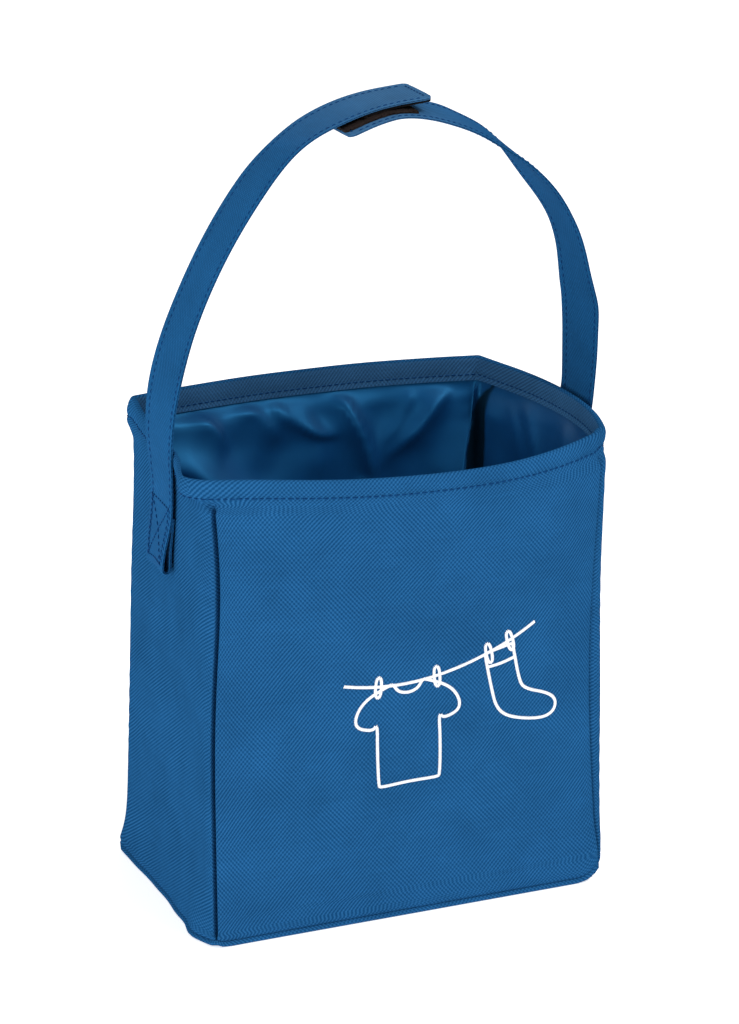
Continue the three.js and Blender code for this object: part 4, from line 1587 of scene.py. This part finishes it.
def line_height(x):
    """Height of the slack line at a distance from the picture's middle: a slope and a parabola."""
    return PICTURE_Z + LINE_RAISE + LINE_SLOPE * x + LINE_SAG * ((x / LINE_HALF_SPAN) ** 2 - 0.5)


def on_line(outline, place, closed=True):
    """Outline drawn from the line downward, rounded, hung at a place on it and turned with its slope."""
    x = place * MM
    slope = (line_height(x + MM) - line_height(x - MM)) / (2 * MM)
    angle = HANG_TURN * math.atan(slope)
    turn = np.array([[math.cos(angle), math.sin(angle)], [-math.sin(angle), math.cos(angle)]])
    drawn = rounded(np.array(outline, dtype=float) * MM, closed)
    return drawn @ turn + np.array([PICTURE_X + x, line_height(x)])


def satin_rows(routes):
    """Satin stitches across each route on the front panel, side by side along it."""
    front = walls["front"]
    rows = []
    for route in routes:
        centres, along, up = surface_stitches(
            lambda x, z: wall_point(front, wall_share(front, z, x, 0), z), route, SATIN_PITCH)
        across = unit(np.cross(up, along))
        rows.append((centres, across + SATIN_SLANT * unit(along), up))
    return joined_rows(rows)


def embroider():
    """White outline picture: a shirt and a sock pegged on a slack washing line."""
    span = np.linspace(-LINE_HALF_SPAN, LINE_HALF_SPAN, LINE_POINTS)
    line = np.stack([PICTURE_X + span, line_height(span)], axis=-1)
    shirt = np.array(SHIRT_HALF_OUTLINE)
    whole_shirt = np.concatenate([shirt, shirt[-2:0:-1] * np.array([-1, 1])])
    routes = [line, on_line(whole_shirt, SHIRT_AT), on_line(SOCK_OUTLINE, SOCK_AT)]
    routes.append(on_line(SOCK_CUFF, SOCK_AT, closed=False))
    routes += [on_line(PEG_MARK, place) for place in PEGS_AT]
    length, width = SATIN_WIDTH / STITCH_LENGTH, SATIN_RADIUS / STITCH_RADIUS
    obj = stitches("embroidered_washing", *satin_rows(routes), length=length, width=width)
    dress(obj, white_thread, "bag")


embroider()


# Base board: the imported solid, with the card's finish

for board_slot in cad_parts["base_board"].material_slots:
    board_slot.material = grey_card


# Stage, light and camera

def make_stage():
    """Pale floor that runs out of view, a white sky, and soft lights from above and from the left front."""
    mesh = bpy.data.meshes.new("floor")
    corners = [(x * FLOOR_REACH, y * FLOOR_REACH, 0) for x, y in ((-1, -1), (1, -1), (1, 1), (-1, 1))]
    mesh.from_pydata(corners, [], [(0, 1, 2, 3)])
    floor = bpy.data.objects.new("floor", mesh)
    bpy.context.scene.collection.objects.link(floor)
    material, _, shader = start_material("pale_floor", roughness=0.7, specular=0.2)
    shader.inputs["Base Color"].default_value = (0.96, 0.96, 0.96, 1)
    shader.inputs["Emission Color"].default_value = (1, 1, 1, 1)
    shader.inputs["Emission Strength"].default_value = FLOOR_GLOW
    mesh.materials.append(material)
    world = bpy.data.worlds.new("studio")
    world.use_nodes = True
    world.node_tree.nodes["Background"].inputs[0].default_value = (1, 1, 1, 1)
    world.node_tree.nodes["Background"].inputs[1].default_value = SKY_STRENGTH
    bpy.context.scene.world = world
    for name, (spot, size, power) in LIGHTS.items():
        light = bpy.data.lights.new(name, "AREA")
        light.size = size
        light.energy = power
        lamp = bpy.data.objects.new(name, light)
        lamp.location = spot
        aim = Vector(LIGHT_AIM) - Vector(spot)
        lamp.rotation_euler = aim.to_track_quat("-Z", "Y").to_euler()
        bpy.context.scene.collection.objects.link(lamp)


def make_camera():
    """Camera on a sphere round the target, level, with the lens that gives the focal length in pixels."""
    yaw = math.radians(CAMERA_YAW)
    pitch = math.radians(CAMERA_PITCH)
    back = Vector((math.sin(yaw) * math.cos(pitch), -math.cos(yaw) * math.cos(pitch), math.sin(pitch)))
    data = bpy.data.cameras.new("camera")
    data.sensor_width = SENSOR
    data.lens = FOCAL_PIXELS * SENSOR / IMAGE_HEIGHT
    eye = bpy.data.objects.new("camera", data)
    eye.location = Vector(CAMERA_TARGET) + back * CAMERA_DISTANCE
    eye.rotation_euler = (-back).to_track_quat("-Z", "Y").to_euler()
    bpy.context.scene.collection.objects.link(eye)
    bpy.context.scene.camera = eye


make_stage()
make_camera()
bpy.context.scene.view_settings.view_transform = "Standard"
